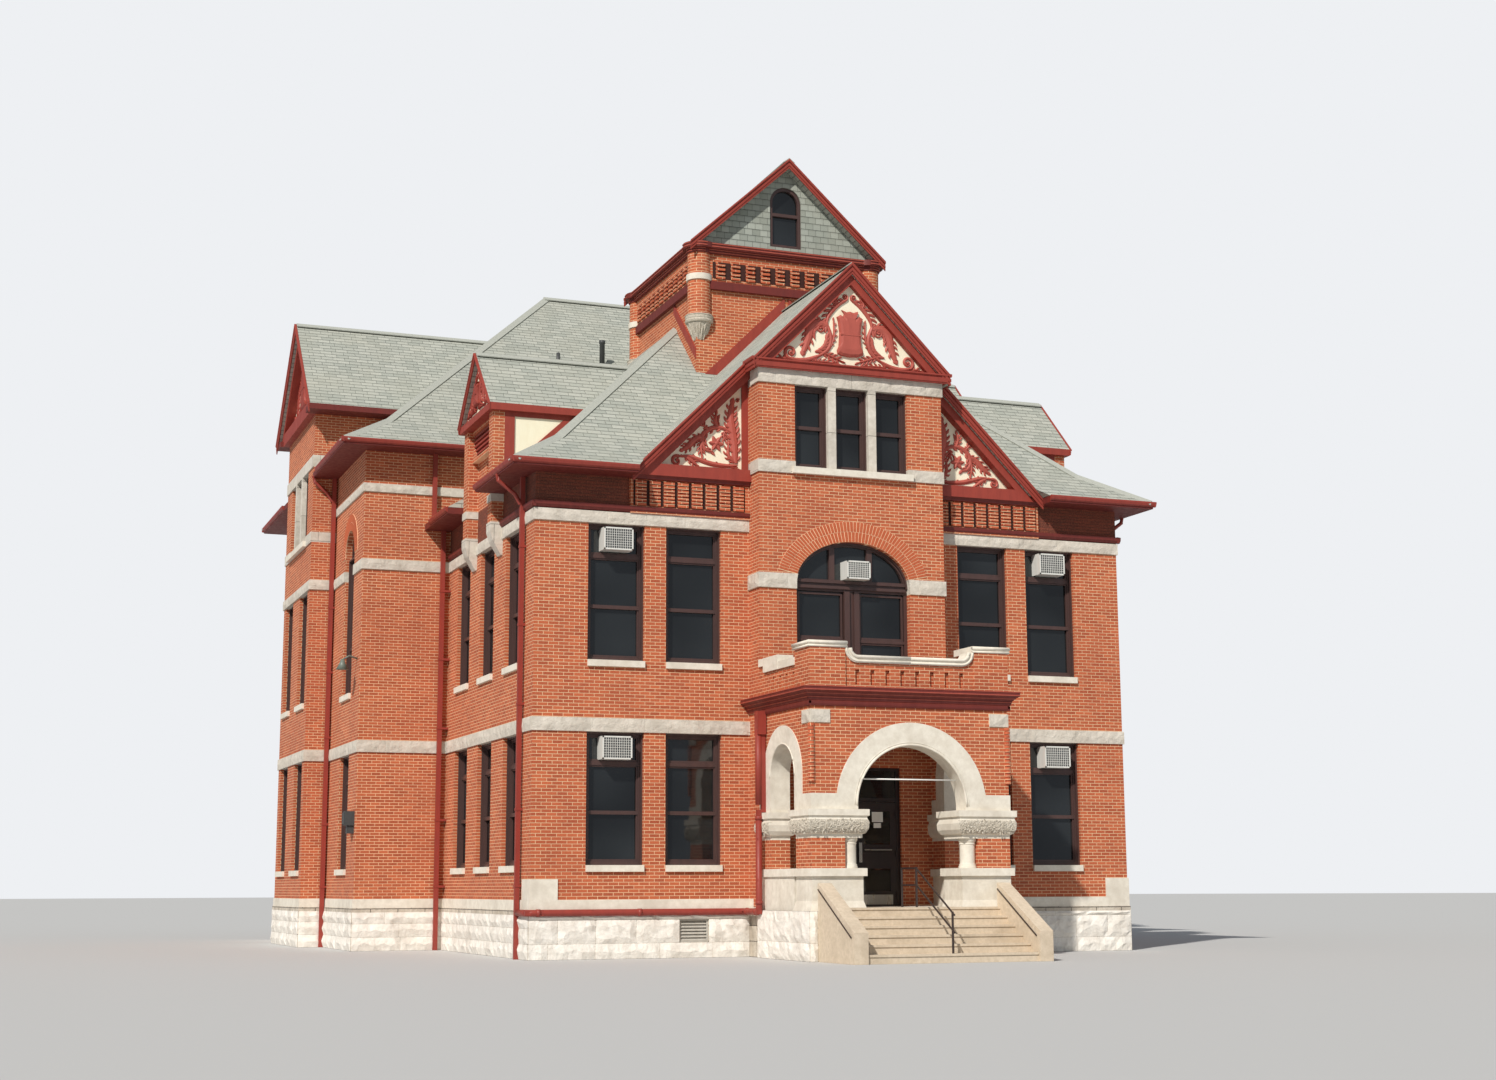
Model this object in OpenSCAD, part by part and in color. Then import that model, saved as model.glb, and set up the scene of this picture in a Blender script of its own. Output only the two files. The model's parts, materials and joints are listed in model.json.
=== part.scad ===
// Town hall building: brick walls with stone bands, shingled hip roofs, a tower and an arched porch.
// The origin is on the ground in the plane of the front wall, on the centre line of the building.
// X runs to the right, Y runs back into the building and Z runs up. All sizes are in millimetres.

/* [Plan] */
// Width of the front pavilion
pavilion_w = 13410; // [12900:10:14400]
// Depth of the front pavilion, from its front wall to the front wall of the main block
pavilion_d = 7580; // [7400:10:8200]
// Width of the main block
main_w = 17520; // [17100:10:19000]
// Depth of the main block
main_d = 11740; // [11300:10:12600]
// Thickness of the brick walls
wall_t = 420; // [340:10:480]
// Width of the centre bay and of the porch in front of it
bay_w = 4220; // [4120:10:4400]
// How far the centre bay stands out from the front wall
bay_out = 600; // [500:10:700]
// Width of each side bay
side_bay_w = 4240; // [4100:10:4400]
// How far each side bay stands out from the main block
side_bay_out = 600; // [460:10:700]

/* [Levels] */
// Top of the stone base course
base_top = 1150; // [1100:10:1250]
// Height of the smooth stone course at the top of the base
course_h = 200; // [150:10:240]
// Top of the ground floor, which is also the level of the porch
floor_z = 990; // [940:10:1040]
// Top of the lower window sills
lower_sill_z = 1823; // [1750:1:1900]
// Height of the lower windows
lower_window_h = 2630; // [2500:10:2750]
// Height of the lower stone band
lower_band_h = 274; // [240:2:300]
// Top of the upper window sills
upper_sill_z = 5893; // [5800:1:6000]
// Height of the upper windows
upper_window_h = 2786; // [2650:2:2850]
// Height of the upper stone band
upper_band_h = 244; // [220:2:280]
// Thickness of each floor
floor_t = 300; // [200:10:350]

/* [Windows] */
// Width of a common window
window_w = 1200; // [1050:10:1240]
// Distance of the outer front windows from the centre line
outer_window_x = 4990; // [4900:10:5100]
// Distance of the inner front windows from the centre line
inner_window_x = 3330; // [3260:10:3400]
// Depth of the window frames behind the face of the wall
reveal = 150; // [100:10:180]
// Width of the bars of a window frame
frame_w = 75; // [60:5:90]
// Depth of the bars of a window frame
frame_d = 70; // [50:5:90]
// Thickness of the glass
glass_t = 12; // [8:1:20]
// Height of a stone window sill
sill_h = 130; // [100:10:160]
// How far a window sill stands out from the wall
sill_out = 60; // [40:5:90]
// Width of the window air conditioners
cooler_w = 620; // [560:10:660]
// Height of the window air conditioners
cooler_h = 460; // [400:10:470]

/* [Roofs] */
// Overhang of the eaves
overhang = 620; // [520:10:680]
// Top of the eaves of the pavilion
eave_z = 9800; // [9740:10:9860]
// Top of the eaves of the main block
main_eave_z = 11620; // [11540:10:11720]
// Thickness of the boxed eaves
eave_t = 140; // [100:10:180]
// Rise of the roofs for each unit of run
roof_slope = 0.945; // [0.92:0.005:0.97]
// Rise for each unit of run in the flatter strip along the eaves
flare_slope = 0.62; // [0.58:0.01:0.66]
// Width of the flatter strip along the eaves
flare_run = 1200; // [1000:10:1300]
// Thickness of the roofs, measured upright
roof_t = 220; // [180:10:260]

/* [Gables] */
// Height of the peak of the front gable
gable_z = 14520; // [14450:10:14600]
// Height of the ridges over the side bays
side_gable_z = 15970; // [15850:10:16050]
// Half the span of the roofs over the side bays
side_gable_half = 2700; // [2600:10:2800]
// Height of the red mouldings at the foot of the gables
gable_base_h = 190; // [150:10:230]
// Width of the sloping boards of the gables, measured upright
rake_h = 230; // [180:10:260]
// How far the gable roofs stand out in front of their panels
rake_out = 250; // [200:10:300]

/* [Dormers] */
// Distance of the middle of the wall dormers from the front wall
dormer_y = 3905; // [3800:5:4000]
// Distance between the outer sides of the two piers of a dormer
dormer_w = 2610; // [2540:10:2700]
// Width of a dormer pier
dormer_pier_w = 330; // [280:10:380]
// How far the dormer piers stand out from the wall
dormer_out = 260; // [220:10:300]
// Height of the peak of the dormer roofs
dormer_z = 13040; // [12950:10:13120]
// Underside of the dormer cornice
dormer_cornice_z = 11480; // [11400:10:11520]

/* [Tower] */
// Width of the tower
tower_w = 4400; // [4300:10:4500]
// Distance of the front of the tower from the front wall
tower_y = 3000; // [2950:10:3100]
// Depth of the tower
tower_d = 4500; // [4350:10:4600]
// Thickness of the tower walls
tower_t = 350; // [300:10:380]
// Underside of the tower cornice
tower_cornice_z = 15620; // [15560:10:15700]
// Radius of the round corner shafts of the tower
shaft_r = 265; // [240:5:290]
// Rise of the tower roof above its cornice
tower_roof_rise = 2200; // [2100:10:2300]

/* [Porch] */
// Depth of the porch in front of the centre bay
porch_d = 2620; // [2560:10:2750]
// Thickness of the porch walls
porch_t = 400; // [360:10:420]
// Inner radius of the front arch
arch_r = 1147; // [1100:1:1180]
// Inner radius of the side arches
side_arch_r = 620; // [580:5:640]
// Width of the stone ring of the front arch
ring_w = 453; // [400:1:460]
// Width of the stone ring of the side arches
side_ring_w = 380; // [340:5:400]
// Top of the arch stones, shared by the three arches
arch_top_z = 4520; // [4480:10:4560]
// Underside of the stone band that carries the arches
impost_z = 2840; // [2800:10:2880]
// Height of the stone band that carries the arches
impost_h = 300; // [260:10:320]
// Top of the brick of the parapet, under its coping
parapet_z = 5650; // [5600:10:5700]
// Height of the step between the parapet and its corner blocks
pedestal_rise = 280; // [240:10:300]
// Thickness of the coping
coping_h = 150; // [120:10:160]

/* [Entrance] */
// Width of the doorway
doorway_w = 2000; // [1900:10:2060]
// Height of the doorway above the porch floor
doorway_h = 2810; // [2700:10:2900]
// Height of the door leaves
leaf_h = 2100; // [2000:10:2200]
// Thickness of a door leaf
leaf_t = 50; // [40:2:60]
// Gap round the door leaves
leaf_gap = 8; // [6:1:12]
// Width of the posts of the door frame
post_w = 80; // [60:5:100]
// Radius of the hinge knuckles
knuckle_r = 16; // [14:1:18]

/* [Steps] */
// Depth of a tread
tread = 300; // [280:10:320]
// Width of the steps between their side walls
steps_w = 3500; // [3400:10:3540]
// Thickness of the walls beside the steps
cheek_t = 280; // [220:10:300]
// Radius of the handrail tubes
rail_r = 22; // [18:1:26]

/* [Hidden] */
$fn = 48;

brick = [0.76, 0.40, 0.26];
stone = [0.88, 0.85, 0.78];
red = [0.60, 0.22, 0.19];
cream = [0.96, 0.93, 0.80];
shingle = [0.60, 0.62, 0.58];
dark = [0.24, 0.17, 0.15];
timber = [0.62, 0.52, 0.42];
concrete = [0.78, 0.70, 0.60];

// Hairline joint between neighbouring pieces of one course
joint = 0.5;
// How far a cut runs past a face
past = 50;

pav_x = pavilion_w / 2;
main_x = main_w / 2;
main_y = pavilion_d;
rear_y = pavilion_d + main_d;
mid_y = main_y + main_d / 2;
bay_x = bay_w / 2;
side_x = main_x + side_bay_out;
side_y0 = mid_y - side_bay_w / 2;
side_y1 = mid_y + side_bay_w / 2;
lower_head = lower_sill_z + lower_window_h;
lower_band_top = lower_head + lower_band_h;
upper_head = upper_sill_z + upper_window_h;
upper_band_top = upper_head + upper_band_h;
upper_floor_z = floor_z + upper_sill_z - lower_sill_z;
eave_bottom = eave_z - eave_t;
main_eave_bottom = main_eave_z - eave_t;
attic_z = eave_bottom;
base_out = 40;
course_out = 25;
band_out = 30;
// Stone band near the top of the main block, which starts clear of the pavilion roof
top_band_z = main_eave_bottom - 976;
top_band_h = 203;
top_band_x = 4600;
// Stone bands of the bays
bay_impost_z = 7450;
bay_impost_h = 310;
bay_sill_z = upper_band_top + 947;
bay_sill_h = 260;
attic_head = 11780;
bay_brick_top = attic_head + 300;

pav_eave = pav_x + overhang;
main_eave = main_x + overhang;
gable_half = gable_z - eave_z;
gable_foot_z = eave_bottom + 310;
frieze_out = 60;
side_gable_eave_z = side_gable_z - side_gable_half;
side_wall_top = side_gable_eave_z - eave_t;
panel_in = 60;
panel_t = 100;
upper_rake_out = 120;

dormer_y0 = dormer_y - dormer_w / 2;
dormer_y1 = dormer_y + dormer_w / 2;
dormer_half = dormer_w / 2 + 100;
dormer_eave_z = dormer_z - dormer_half;
dormer_roof_t = 120;
dormer_band_z = eave_bottom - 160;
corbel_top = upper_band_top + 130;
corbel_h = 700;
cheek_panel_t = 160;

tower_x = tower_w / 2;
tower_back = tower_y + tower_d;
shaft_in = 100;
tower_frieze_z = 14980;
tower_ring_z = 15120;
tower_top_z = tower_cornice_z + 230;
tower_half = tower_x + 200;
tower_peak_z = tower_top_z + tower_roof_rise;
tower_slope = tower_roof_rise / tower_half;
tower_roof_t = 200;
shaft_z = 14170;

porch_y = -bay_out - porch_d;
porch_in_y = porch_y + porch_t;
porch_in_x = bay_x - porch_t;
ring_r = arch_r + ring_w;
side_ring_r = side_arch_r + side_ring_w;
spring_z = arch_top_z - ring_r;
side_spring_z = arch_top_z - side_ring_r;
side_arch_y = (porch_y - bay_out) / 2 + 110;
impost_top = impost_z + impost_h;
rough_top = 930;
dado_top = 1580;
plinth_top = 1730;
capital_z = 2300;
plinth_x = 1050;
plinth_flare = 60;
pier_x = 1420;
pier_y = side_arch_y - side_arch_r - 20;
rear_pier_y = side_arch_y + side_arch_r + 10;
block_z = 4480;
block_h = 250;
deck_z = 4850;
deck_top = deck_z + 200;
cornice_top = deck_top + 120;
cornice_out = 200;
parapet_t = 260;
pedestal_w = 730;
pedestal_z = parapet_z + pedestal_rise;
pedestal_x = bay_x + 10 - pedestal_w;
stone_proud = 20;
base_front = porch_y - 90;
risers = 6;
riser = floor_z / risers;
steps_y = base_front - 90 - (risers - 1) * tread;

// Transom bar and meeting rail, as parts of the window height
transom_at = 0.765;
meeting_at = 0.394;
attic_windows = [-925, 0, 925];
attic_window_w = 745;
bay_sill_top = bay_sill_z + bay_sill_h;
attic_sill_z = bay_sill_z + 140;
attic_z0 = attic_sill_z + joint;
attic_edge = attic_windows[2] + attic_window_w / 2;
basement_w = 620;
basement_z = 300;
basement_h = 460;
bay_arch_half = 1290;
bay_arch_rise = 920;
bay_arch_spring = 7570;
bay_arch_sill = 5400;
bay_arch_sill_h = 100;
side_round_spring = 9230;
side_window_y = main_y + 1670;
tower_window_r = tower_roof_rise * 390 / 2200;
tower_window_z = tower_top_z + tower_roof_rise * 135 / 2200;
tower_window_spring = tower_top_z + tower_roof_rise * 1207 / 2200;
tower_meeting_z = tower_top_z + tower_roof_rise * 890 / 2200;
// Windows of the right half of the building, each with its place and the turn of its wall
front_windows = [[inner_window_x, 0, 0], [outer_window_x, 0, 0]];
side_windows = [[pav_x, 1700, 90], [pav_x, dormer_y, 90], [pav_x, 6100, 90]];
bay_windows = [[side_x, mid_y - 1150, 90], [side_x, mid_y + 1150, 90]];
rear_windows = [[1400, rear_y, 180], [4150, rear_y, 180], [6900, rear_y, 180]];
round_windows = [[main_x, side_window_y, 90], [main_x, 2 * mid_y - side_window_y, 90]];
square_windows = concat(front_windows, side_windows, bay_windows, rear_windows);
attic_walls = [[0, -bay_out, 0], [side_x, mid_y, 90], [-side_x, mid_y, -90]];
tower_gables = [[0, tower_y, 0], [0, tower_back, 180]];

// One box between two corners
module span(x0, x1, y0, y1, z0, z1)
  translate([x0, y0, z0]) cube([x1 - x0, y1 - y0, z1 - z0]);

// The children and their mirror image on the other side of the building
module both() {
  children();
  mirror([1, 0, 0]) children();
}

// A flat outline in X and Z, pushed back from y0 to y1
module facing(y0, y1)
  translate([0, y1, 0]) rotate([90, 0, 0]) linear_extrude(y1 - y0) children();

// A flat outline in Y and Z, pushed sideways from x0 to x1
module sideways(x0, x1)
  translate([x0, 0, 0]) rotate([90, 0, 90]) linear_extrude(x1 - x0) children();

// A shape drawn at the front of the building, moved to the place and turn of a wall
module at_wall(w)
  translate([w[0], w[1], 0]) rotate([0, 0, w[2]]) children();

// A straight tube between two points
module tube(a, b, r) {
  d = b - a;
  flat = sqrt(d[0] * d[0] + d[1] * d[1]);
  translate(a) rotate([0, atan2(flat, d[2]), atan2(d[1], d[0])]) cylinder(r = r, h = norm(d));
}

// Ends of the wall piers left between openings of width w at the given middles
function pier_ends(a, b, middles, w) =
  concat([a], [for (m = middles) each [m - w / 2, m + w / 2]], [b]);

// Wall facing front or back: one long piece under the windows and a pier on each side of them
module wall_x(x0, x1, y0, z0, z1, middles, sill) {
  ends = pier_ends(x0, x1, middles, window_w);
  span(x0, x1, y0, y0 + wall_t, z0, sill - sill_h);
  for (i = [0:len(middles)])
    span(ends[2 * i], ends[2 * i + 1], y0, y0 + wall_t, sill - sill_h + joint, z1);
}

// The same for a wall facing right, with its outer face at x1
module wall_y(x1, y0, y1, z0, z1, middles, sill) {
  ends = pier_ends(y0, y1, middles, window_w);
  span(x1 - wall_t, x1, y0, y1, z0, sill - sill_h);
  for (i = [0:len(middles)])
    span(x1 - wall_t, x1, ends[2 * i], ends[2 * i + 1], sill - sill_h + joint, z1);
}

// Rise of a roof above its eave at a distance from the eave
function roof_rise(t) = t < flare_run ? t * flare_slope
  : flare_run * flare_slope + (t - flare_run) * roof_slope;

// Outline of a roof from eave to eave, flatter at its foot, lowered by drop
module roof_outline(half, z, drop) {
  knee = half - flare_run;
  knee_z = z + roof_rise(flare_run) - drop;
  foot = half - drop / flare_slope;
  polygon([[-foot, z], [foot, z], [knee, knee_z], [0, z + roof_rise(half) - drop],
    [-knee, knee_z]]);
}

// Outline of the same roof seen from the side, rising from y0 to a distant point
module slope_outline(y0, z, drop, reach) {
  knee = y0 + flare_run;
  knee_z = z + roof_rise(flare_run) - drop;
  polygon([[y0 + drop / flare_slope, z], [knee, knee_z],
    [reach, knee_z + (reach - knee) * roof_slope], [reach, z]]);
}

// Solid under the pavilion roof, lowered by drop
module pavilion_hip(drop)
  intersection() {
    facing(-overhang - past, mid_y) roof_outline(pav_eave, eave_z, drop);
    sideways(-pav_eave - past, pav_eave + past) slope_outline(-overhang, eave_z, drop, mid_y);
  }

// Solid under the main roof, lowered by drop
module main_hip(drop) {
  half_d = main_d / 2 + overhang;
  intersection() {
    facing(main_y - overhang - past, rear_y + overhang + past)
      roof_outline(main_eave, main_eave_z, drop);
    sideways(-main_eave - past, main_eave + past)
      translate([mid_y, 0]) roof_outline(half_d, main_eave_z, drop);
  }
}

// Outline under a plain gable roof that falls one for one to its foot, lowered by drop
module gable_outline(half, foot, drop)
  polygon([[drop - half, foot], [half - drop, foot], [0, foot + half - drop]]);

// Solid under the front gable roof, between two depths
module front_gable(drop, y0, y1)
  facing(y0, y1) gable_outline(gable_half, eave_z, drop);

// Solid under the roof of the right side bay
module side_gable(drop, x0, x1)
  sideways(x0, x1) translate([mid_y, 0])
    gable_outline(side_gable_half, side_gable_eave_z, drop);

// Solid under the roof of the right dormer
module dormer_gable(drop, x0, x1)
  sideways(x0, x1) translate([dormer_y, 0]) gable_outline(dormer_half, dormer_eave_z, drop);

// Room that the tower takes where it passes through the roofs
module tower_room()
  span(-tower_x, tower_x, tower_y, tower_back, attic_z, tower_peak_z);

// Ring of a course round the pavilion and the main block, in straight runs, stepped out by out
module course(out, z0, z1) {
  both() {
    span(bay_x + joint, pav_x + out, -out, wall_t, z0, z1);
    span(pav_x - wall_t, pav_x + out, wall_t + joint, main_y - out - joint, z0, z1);
    span(pav_x - wall_t, main_x + out, main_y - out, main_y + wall_t, z0, z1);
    span(main_x - wall_t, main_x + out, main_y + wall_t + joint, side_y0 - out - joint, z0, z1);
    span(main_x - wall_t, side_x + out, side_y0 - out, side_y0 + wall_t, z0, z1);
    span(side_x - wall_t, side_x + out, side_y0 + wall_t + joint, side_y1 - wall_t - joint, z0, z1);
    span(main_x - wall_t, side_x + out, side_y1 - wall_t, side_y1 + out, z0, z1);
    span(main_x - wall_t, main_x + out, side_y1 + out + joint, rear_y - wall_t - joint, z0, z1);
  }
  span(-main_x - out, main_x + out, rear_y - wall_t, rear_y + out, z0, z1);
}

module foundation() color(stone) {
  top = base_top - course_h;
  difference() {
    course(base_out, 0, top);
    // Basement windows under the inner front windows
    both() span(inner_window_x - 310, inner_window_x + 310, -200, wall_t + past, 300, 760);
  }
  both() span(bay_x - wall_t, bay_x, -bay_out + wall_t + joint, wall_t, 0, top);
  span(-bay_x, bay_x, -bay_out, -bay_out + wall_t, 0, floor_z);
  // Solid ground under the entrance floor
  fill_x = bay_x - wall_t - joint;
  span(-fill_x, fill_x, -bay_out + wall_t + joint, wall_t, 0, floor_z - floor_t);
}

module water_table() color(stone) {
  z0 = base_top - course_h;
  z1 = base_top + 400;
  corner_l = 550;
  course(course_out, z0, base_top);
  both() {
    span(bay_x - wall_t, bay_x, -bay_out + wall_t + joint, wall_t, z0, base_top);
    // Corner blocks that stand on the course, in front of the brick
    span(pav_x - corner_l, pav_x + course_out, -course_out, -joint, base_top + joint, z1);
    span(pav_x + joint, pav_x + course_out, 0, corner_l, base_top + joint, z1);
  }
}

// Floor of the whole inside, in plain slabs that meet at hairline joints
module floor_slabs(z) {
  z0 = z - floor_t;
  span(-pav_x + wall_t, pav_x - wall_t, wall_t + joint, main_y + wall_t, z0, z);
  span(-main_x + wall_t, main_x - wall_t, main_y + wall_t + joint, rear_y - wall_t, z0, z);
  span(-bay_x + wall_t, bay_x - wall_t, -bay_out + wall_t, wall_t, z0, z);
  both()
    span(main_x - wall_t + joint, side_x - wall_t, side_y0 + wall_t, side_y1 - wall_t, z0, z);
}

module ground_floor() color(timber) floor_slabs(floor_z);

module upper_floor() color(timber) floor_slabs(upper_floor_z);

module attic_floor() color(timber) floor_slabs(attic_z);

module pavilion_walls() color(brick) {
  both() {
    x0 = bay_x + joint;
    y0 = wall_t + joint;
    fronts = [for (w = front_windows) w[0]];
    sides = [for (w = side_windows) w[1]];
    wall_x(x0, pav_x, 0, base_top, lower_head, fronts, lower_sill_z);
    wall_x(x0, pav_x, 0, lower_band_top, upper_head, fronts, upper_sill_z);
    wall_y(pav_x, y0, main_y, base_top, lower_head, sides, lower_sill_z);
    wall_y(pav_x, y0, main_y, lower_band_top, upper_head, sides, upper_sill_z);
    span(pav_x - wall_t, pav_x, y0, main_y, upper_band_top, eave_bottom);
    span(gable_half, pav_x, 0, wall_t, upper_band_top, eave_bottom);
    // Frieze with upright slots under the foot of the front gable
    difference() {
      span(x0, gable_half - joint, -frieze_out, wall_t, upper_band_top, eave_bottom + 60);
      for (x = [bay_x + 200:300:3900])
        span(x, x + 80, -frieze_out - past, 0, upper_band_top + 190, eave_bottom - 60);
    }
  }
}

// Basket arch in X and Z that stands on its sill
module basket_outline(half, rise, sill, spring)
  polygon(concat([[-half, sill], [half, sill]],
    [for (a = [0 : 5 : 180]) [half * cos(a), spring + rise * sin(a)]]));

// Outline of the arched window over the porch, drawn in by inset
module balcony_outline(inset, sill)
  basket_outline(bay_arch_half - inset, bay_arch_rise - inset, sill + inset, bay_arch_spring);

// Upright outline of a window with a half-round head
module round_outline(half, sill, spring) {
  translate([-half, sill]) square([2 * half, spring - sill]);
  translate([0, spring]) circle(r = half);
}

module centre_bay() color(brick) {
  y0 = -bay_out;
  y1 = y0 + wall_t;
  door_top = floor_z + doorway_h;
  impost_end = bay_impost_z + bay_impost_h;
  lifts = [[base_top, door_top], [door_top + joint, bay_impost_z], [impost_end, bay_sill_z],
    [bay_sill_top, attic_head]];
  both() {
    // Brick beside the doorway, returns of the bay and piers beside the attic windows
    span(doorway_w / 2, bay_x, y0, y1, floor_z, door_top);
    for (lift = lifts)
      span(bay_x - wall_t, bay_x, y1 + joint, wall_t, lift[0], lift[1]);
    span(attic_edge, bay_x, y0, y1, bay_sill_top, attic_head);
  }
  // Brick over the doorway and round the arched window
  difference() {
    union() {
      span(-bay_x, bay_x, y0, y1, door_top + joint, bay_impost_z);
      span(-bay_x, bay_x, y0, y1, impost_end, bay_sill_z);
    }
    facing(y0 - past, y1 + past) balcony_outline(0, bay_arch_sill);
  }
}

module main_walls() color(brick) {
  lifts = [[base_top, lower_head], [lower_band_top, upper_head],
    [upper_band_top, top_band_z], [top_band_z + top_band_h, main_eave_bottom]];
  y1 = main_y + wall_t;
  both() {
    // Front wall beside the pavilion, and above its roof
    for (i = [0, 1])
      span(pav_x - wall_t, main_x, main_y, y1, lifts[i][0], lifts[i][1]);
    span(pav_x - wall_t, main_x, main_y, y1, upper_band_top, attic_z);
    span(top_band_x, main_x, main_y, y1, attic_z + joint, top_band_z);
    span(top_band_x, main_x, main_y, y1, lifts[3][0], lifts[3][1]);
    // Side wall before and behind the bay
    for (run = [[y1 + joint, side_y0, round_windows[0][1]],
        [side_y1, rear_y - wall_t - joint, round_windows[1][1]]]) {
      y = run[2];
      wall_y(main_x, run[0], run[1], base_top, lower_head, [y], lower_sill_z);
      wall_y(main_x, run[0], run[1], lower_band_top, upper_head, [y], upper_sill_z);
      difference() {
        span(main_x - wall_t, main_x, run[0], run[1], upper_band_top, top_band_z);
        sideways(main_x - wall_t - past, main_x + past) translate([y, 0])
          round_outline(window_w / 2, upper_sill_z, side_round_spring);
      }
      span(main_x - wall_t, main_x, run[0], run[1], lifts[3][0], lifts[3][1]);
    }
  }
  y = rear_y - wall_t;
  right = [for (w = rear_windows) w[0]];
  middles = concat([for (i = [len(right) - 1:-1:0]) -right[i]], right);
  wall_x(-main_x, main_x, y, base_top, lower_head, middles, lower_sill_z);
  wall_x(-main_x, main_x, y, lower_band_top, upper_head, middles, upper_sill_z);
  for (i = [2, 3]) span(-main_x, main_x, y, rear_y, lifts[i][0], lifts[i][1]);
}

module side_bays() color(brick) {
  half = side_bay_w / 2;
  middles = [for (w = bay_windows) w[1]];
  x0 = main_x - wall_t;
  x1 = side_x - wall_t - joint;
  both() {
    wall_y(side_x, side_y0, side_y1, base_top, lower_head, middles, lower_sill_z);
    wall_y(side_x, side_y0, side_y1, lower_band_top, upper_head, middles, upper_sill_z);
    span(side_x - wall_t, side_x, side_y0, side_y1, upper_band_top, bay_sill_z);
    at_wall(attic_walls[1]) {
      both() span(attic_edge, half, 0, wall_t, bay_sill_top, attic_head);
      span(-half, half, 0, wall_t, bay_brick_top, side_wall_top);
    }
    for (y = [side_y0, side_y1 - wall_t]) {
      for (lift = [[base_top, lower_head], [lower_band_top, upper_head],
          [upper_band_top, bay_sill_z], [bay_sill_top, side_wall_top]])
        span(x0, x1, y, y + wall_t, lift[0], lift[1]);
      // Triangle that stands on the slope of the main roof
      difference() {
        span(x0 - 1400, x0 - joint, y, y + wall_t, main_eave_z, side_wall_top);
        main_hip(0);
      }
    }
  }
}

// Sill band, stone mullions and top band on the front of a bay, drawn at y = 0
module bay_bands(half) {
  x0 = attic_window_w / 2;
  x1 = attic_windows[2] - attic_window_w / 2;
  span(-attic_edge, attic_edge, -band_out, wall_t, bay_sill_z, attic_sill_z);
  both() {
    span(attic_edge + joint, half, -band_out, wall_t, bay_sill_z, bay_sill_top - joint);
    span(x0, x1, -band_out, wall_t, attic_z0, attic_head - joint);
  }
  span(-half, half, -band_out, wall_t, attic_head, bay_brick_top);
}

module stone_bands() color(stone) {
  o = band_out;
  y1 = -bay_out + wall_t;
  impost_end = bay_impost_z + bay_impost_h;
  course(o, lower_head, lower_band_top);
  difference() {
    course(o, upper_head, upper_band_top);
    for (s = [-1, 1])
      for (w = round_windows)
        span(s * main_x - 600, s * main_x + 600, w[1] - window_w / 2, w[1] + window_w / 2,
          upper_head - past, upper_band_top + past);
  }
  both() {
    // Band near the top of the main block
    z0 = top_band_z;
    z1 = top_band_z + top_band_h;
    difference() {
      span(top_band_x, main_x + o, main_y - o, main_y + wall_t, z0, z1);
      intersection() {
        pavilion_hip(0);
        span(0, main_x, 0, main_y, 0, gable_z);
      }
    }
    span(main_x - wall_t, main_x + o, main_y + wall_t + joint, side_y0 - joint, z0, z1);
    span(main_x - wall_t, main_x + o, side_y1 + joint, rear_y - wall_t - joint, z0, z1);
    // Bands of the centre bay, beside its arched window and round its corners
    difference() {
      span(bay_arch_half - 100, bay_x + o, -bay_out - o, y1, bay_impost_z, impost_end);
      facing(-bay_out - past, y1 + past) balcony_outline(0, bay_arch_sill);
    }
    span(bay_x - wall_t, bay_x + o, y1 + joint, -joint, bay_impost_z, impost_end);
    span(bay_x - wall_t, bay_x, 0, wall_t, bay_impost_z, impost_end);
    for (lift = [[bay_sill_z, bay_sill_top], [attic_head, bay_brick_top]])
      span(bay_x - wall_t, bay_x, y1 + joint, wall_t, lift[0], lift[1]);
    for (y = [side_y0, side_y1 - wall_t])
      span(main_x - wall_t, side_x - wall_t - joint, y, y + wall_t, bay_sill_z, bay_sill_top);
    at_wall(attic_walls[1]) bay_bands(side_bay_w / 2);
  }
  span(-main_x - o, main_x + o, rear_y - wall_t, rear_y + o, top_band_z, top_band_z + top_band_h);
  at_wall(attic_walls[0]) bay_bands(bay_x + o);
}

module window_sills() color(stone) {
  half = window_w / 2;
  both()
    for (z = [lower_sill_z, upper_sill_z])
      for (w = concat(square_windows, round_windows))
        at_wall(w) span(-half, half, -sill_out, wall_t, z - sill_h + joint, z);
  // Projecting sills of the attic windows
  for (w = attic_walls)
    at_wall(w) span(-1380, 1380, -band_out - 80, -band_out, bay_sill_z, attic_sill_z);
  span(-bay_arch_half, bay_arch_half, -bay_out - stone_proud, -bay_out + wall_t,
    bay_arch_sill, bay_arch_sill + bay_arch_sill_h);
}

// Triangle of a gable panel, above its base moulding
module panel_outline(peak, base) {
  half = peak - roof_t - base;
  polygon([[-half, base], [half, base], [0, base + half]]);
}

// Height of the pavilion roof above a place to the side
function roof_z(x) = eave_z + roof_rise(pav_eave - x);

// Panel in the cheek of a dormer, in X and Z, with a strip left along the roof
module cheek_outline() {
  strip = 150;
  x0 = pav_x - 220;
  knee = pav_eave - flare_run;
  z1 = dormer_cornice_z - 100;
  x1 = knee - (z1 - strip - roof_z(knee)) / roof_slope;
  polygon([[x0, roof_z(x0) + strip], [x0, z1], [x1, z1], [knee, roof_z(knee) + strip]]);
}

module gable_panels() color(cream) {
  top = gable_z - roof_t;
  x0 = bay_x + joint;
  y1 = panel_in + panel_t;
  at_wall(attic_walls[0])
    facing(panel_in, y1) panel_outline(gable_z, bay_brick_top + gable_base_h);
  both() {
    // Panels in the cheeks of the dormers
    facing(dormer_y0 + 30, dormer_y0 + 60) cheek_outline();
    facing(dormer_y1 - 60, dormer_y1 - 30) cheek_outline();
    facing(panel_in, y1)
      polygon([[x0, gable_foot_z], [top - gable_foot_z, gable_foot_z], [x0, top - x0]]);
    at_wall(attic_walls[1])
      facing(panel_in, y1) panel_outline(side_gable_z, side_gable_eave_z + gable_base_h);
  }
}

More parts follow.
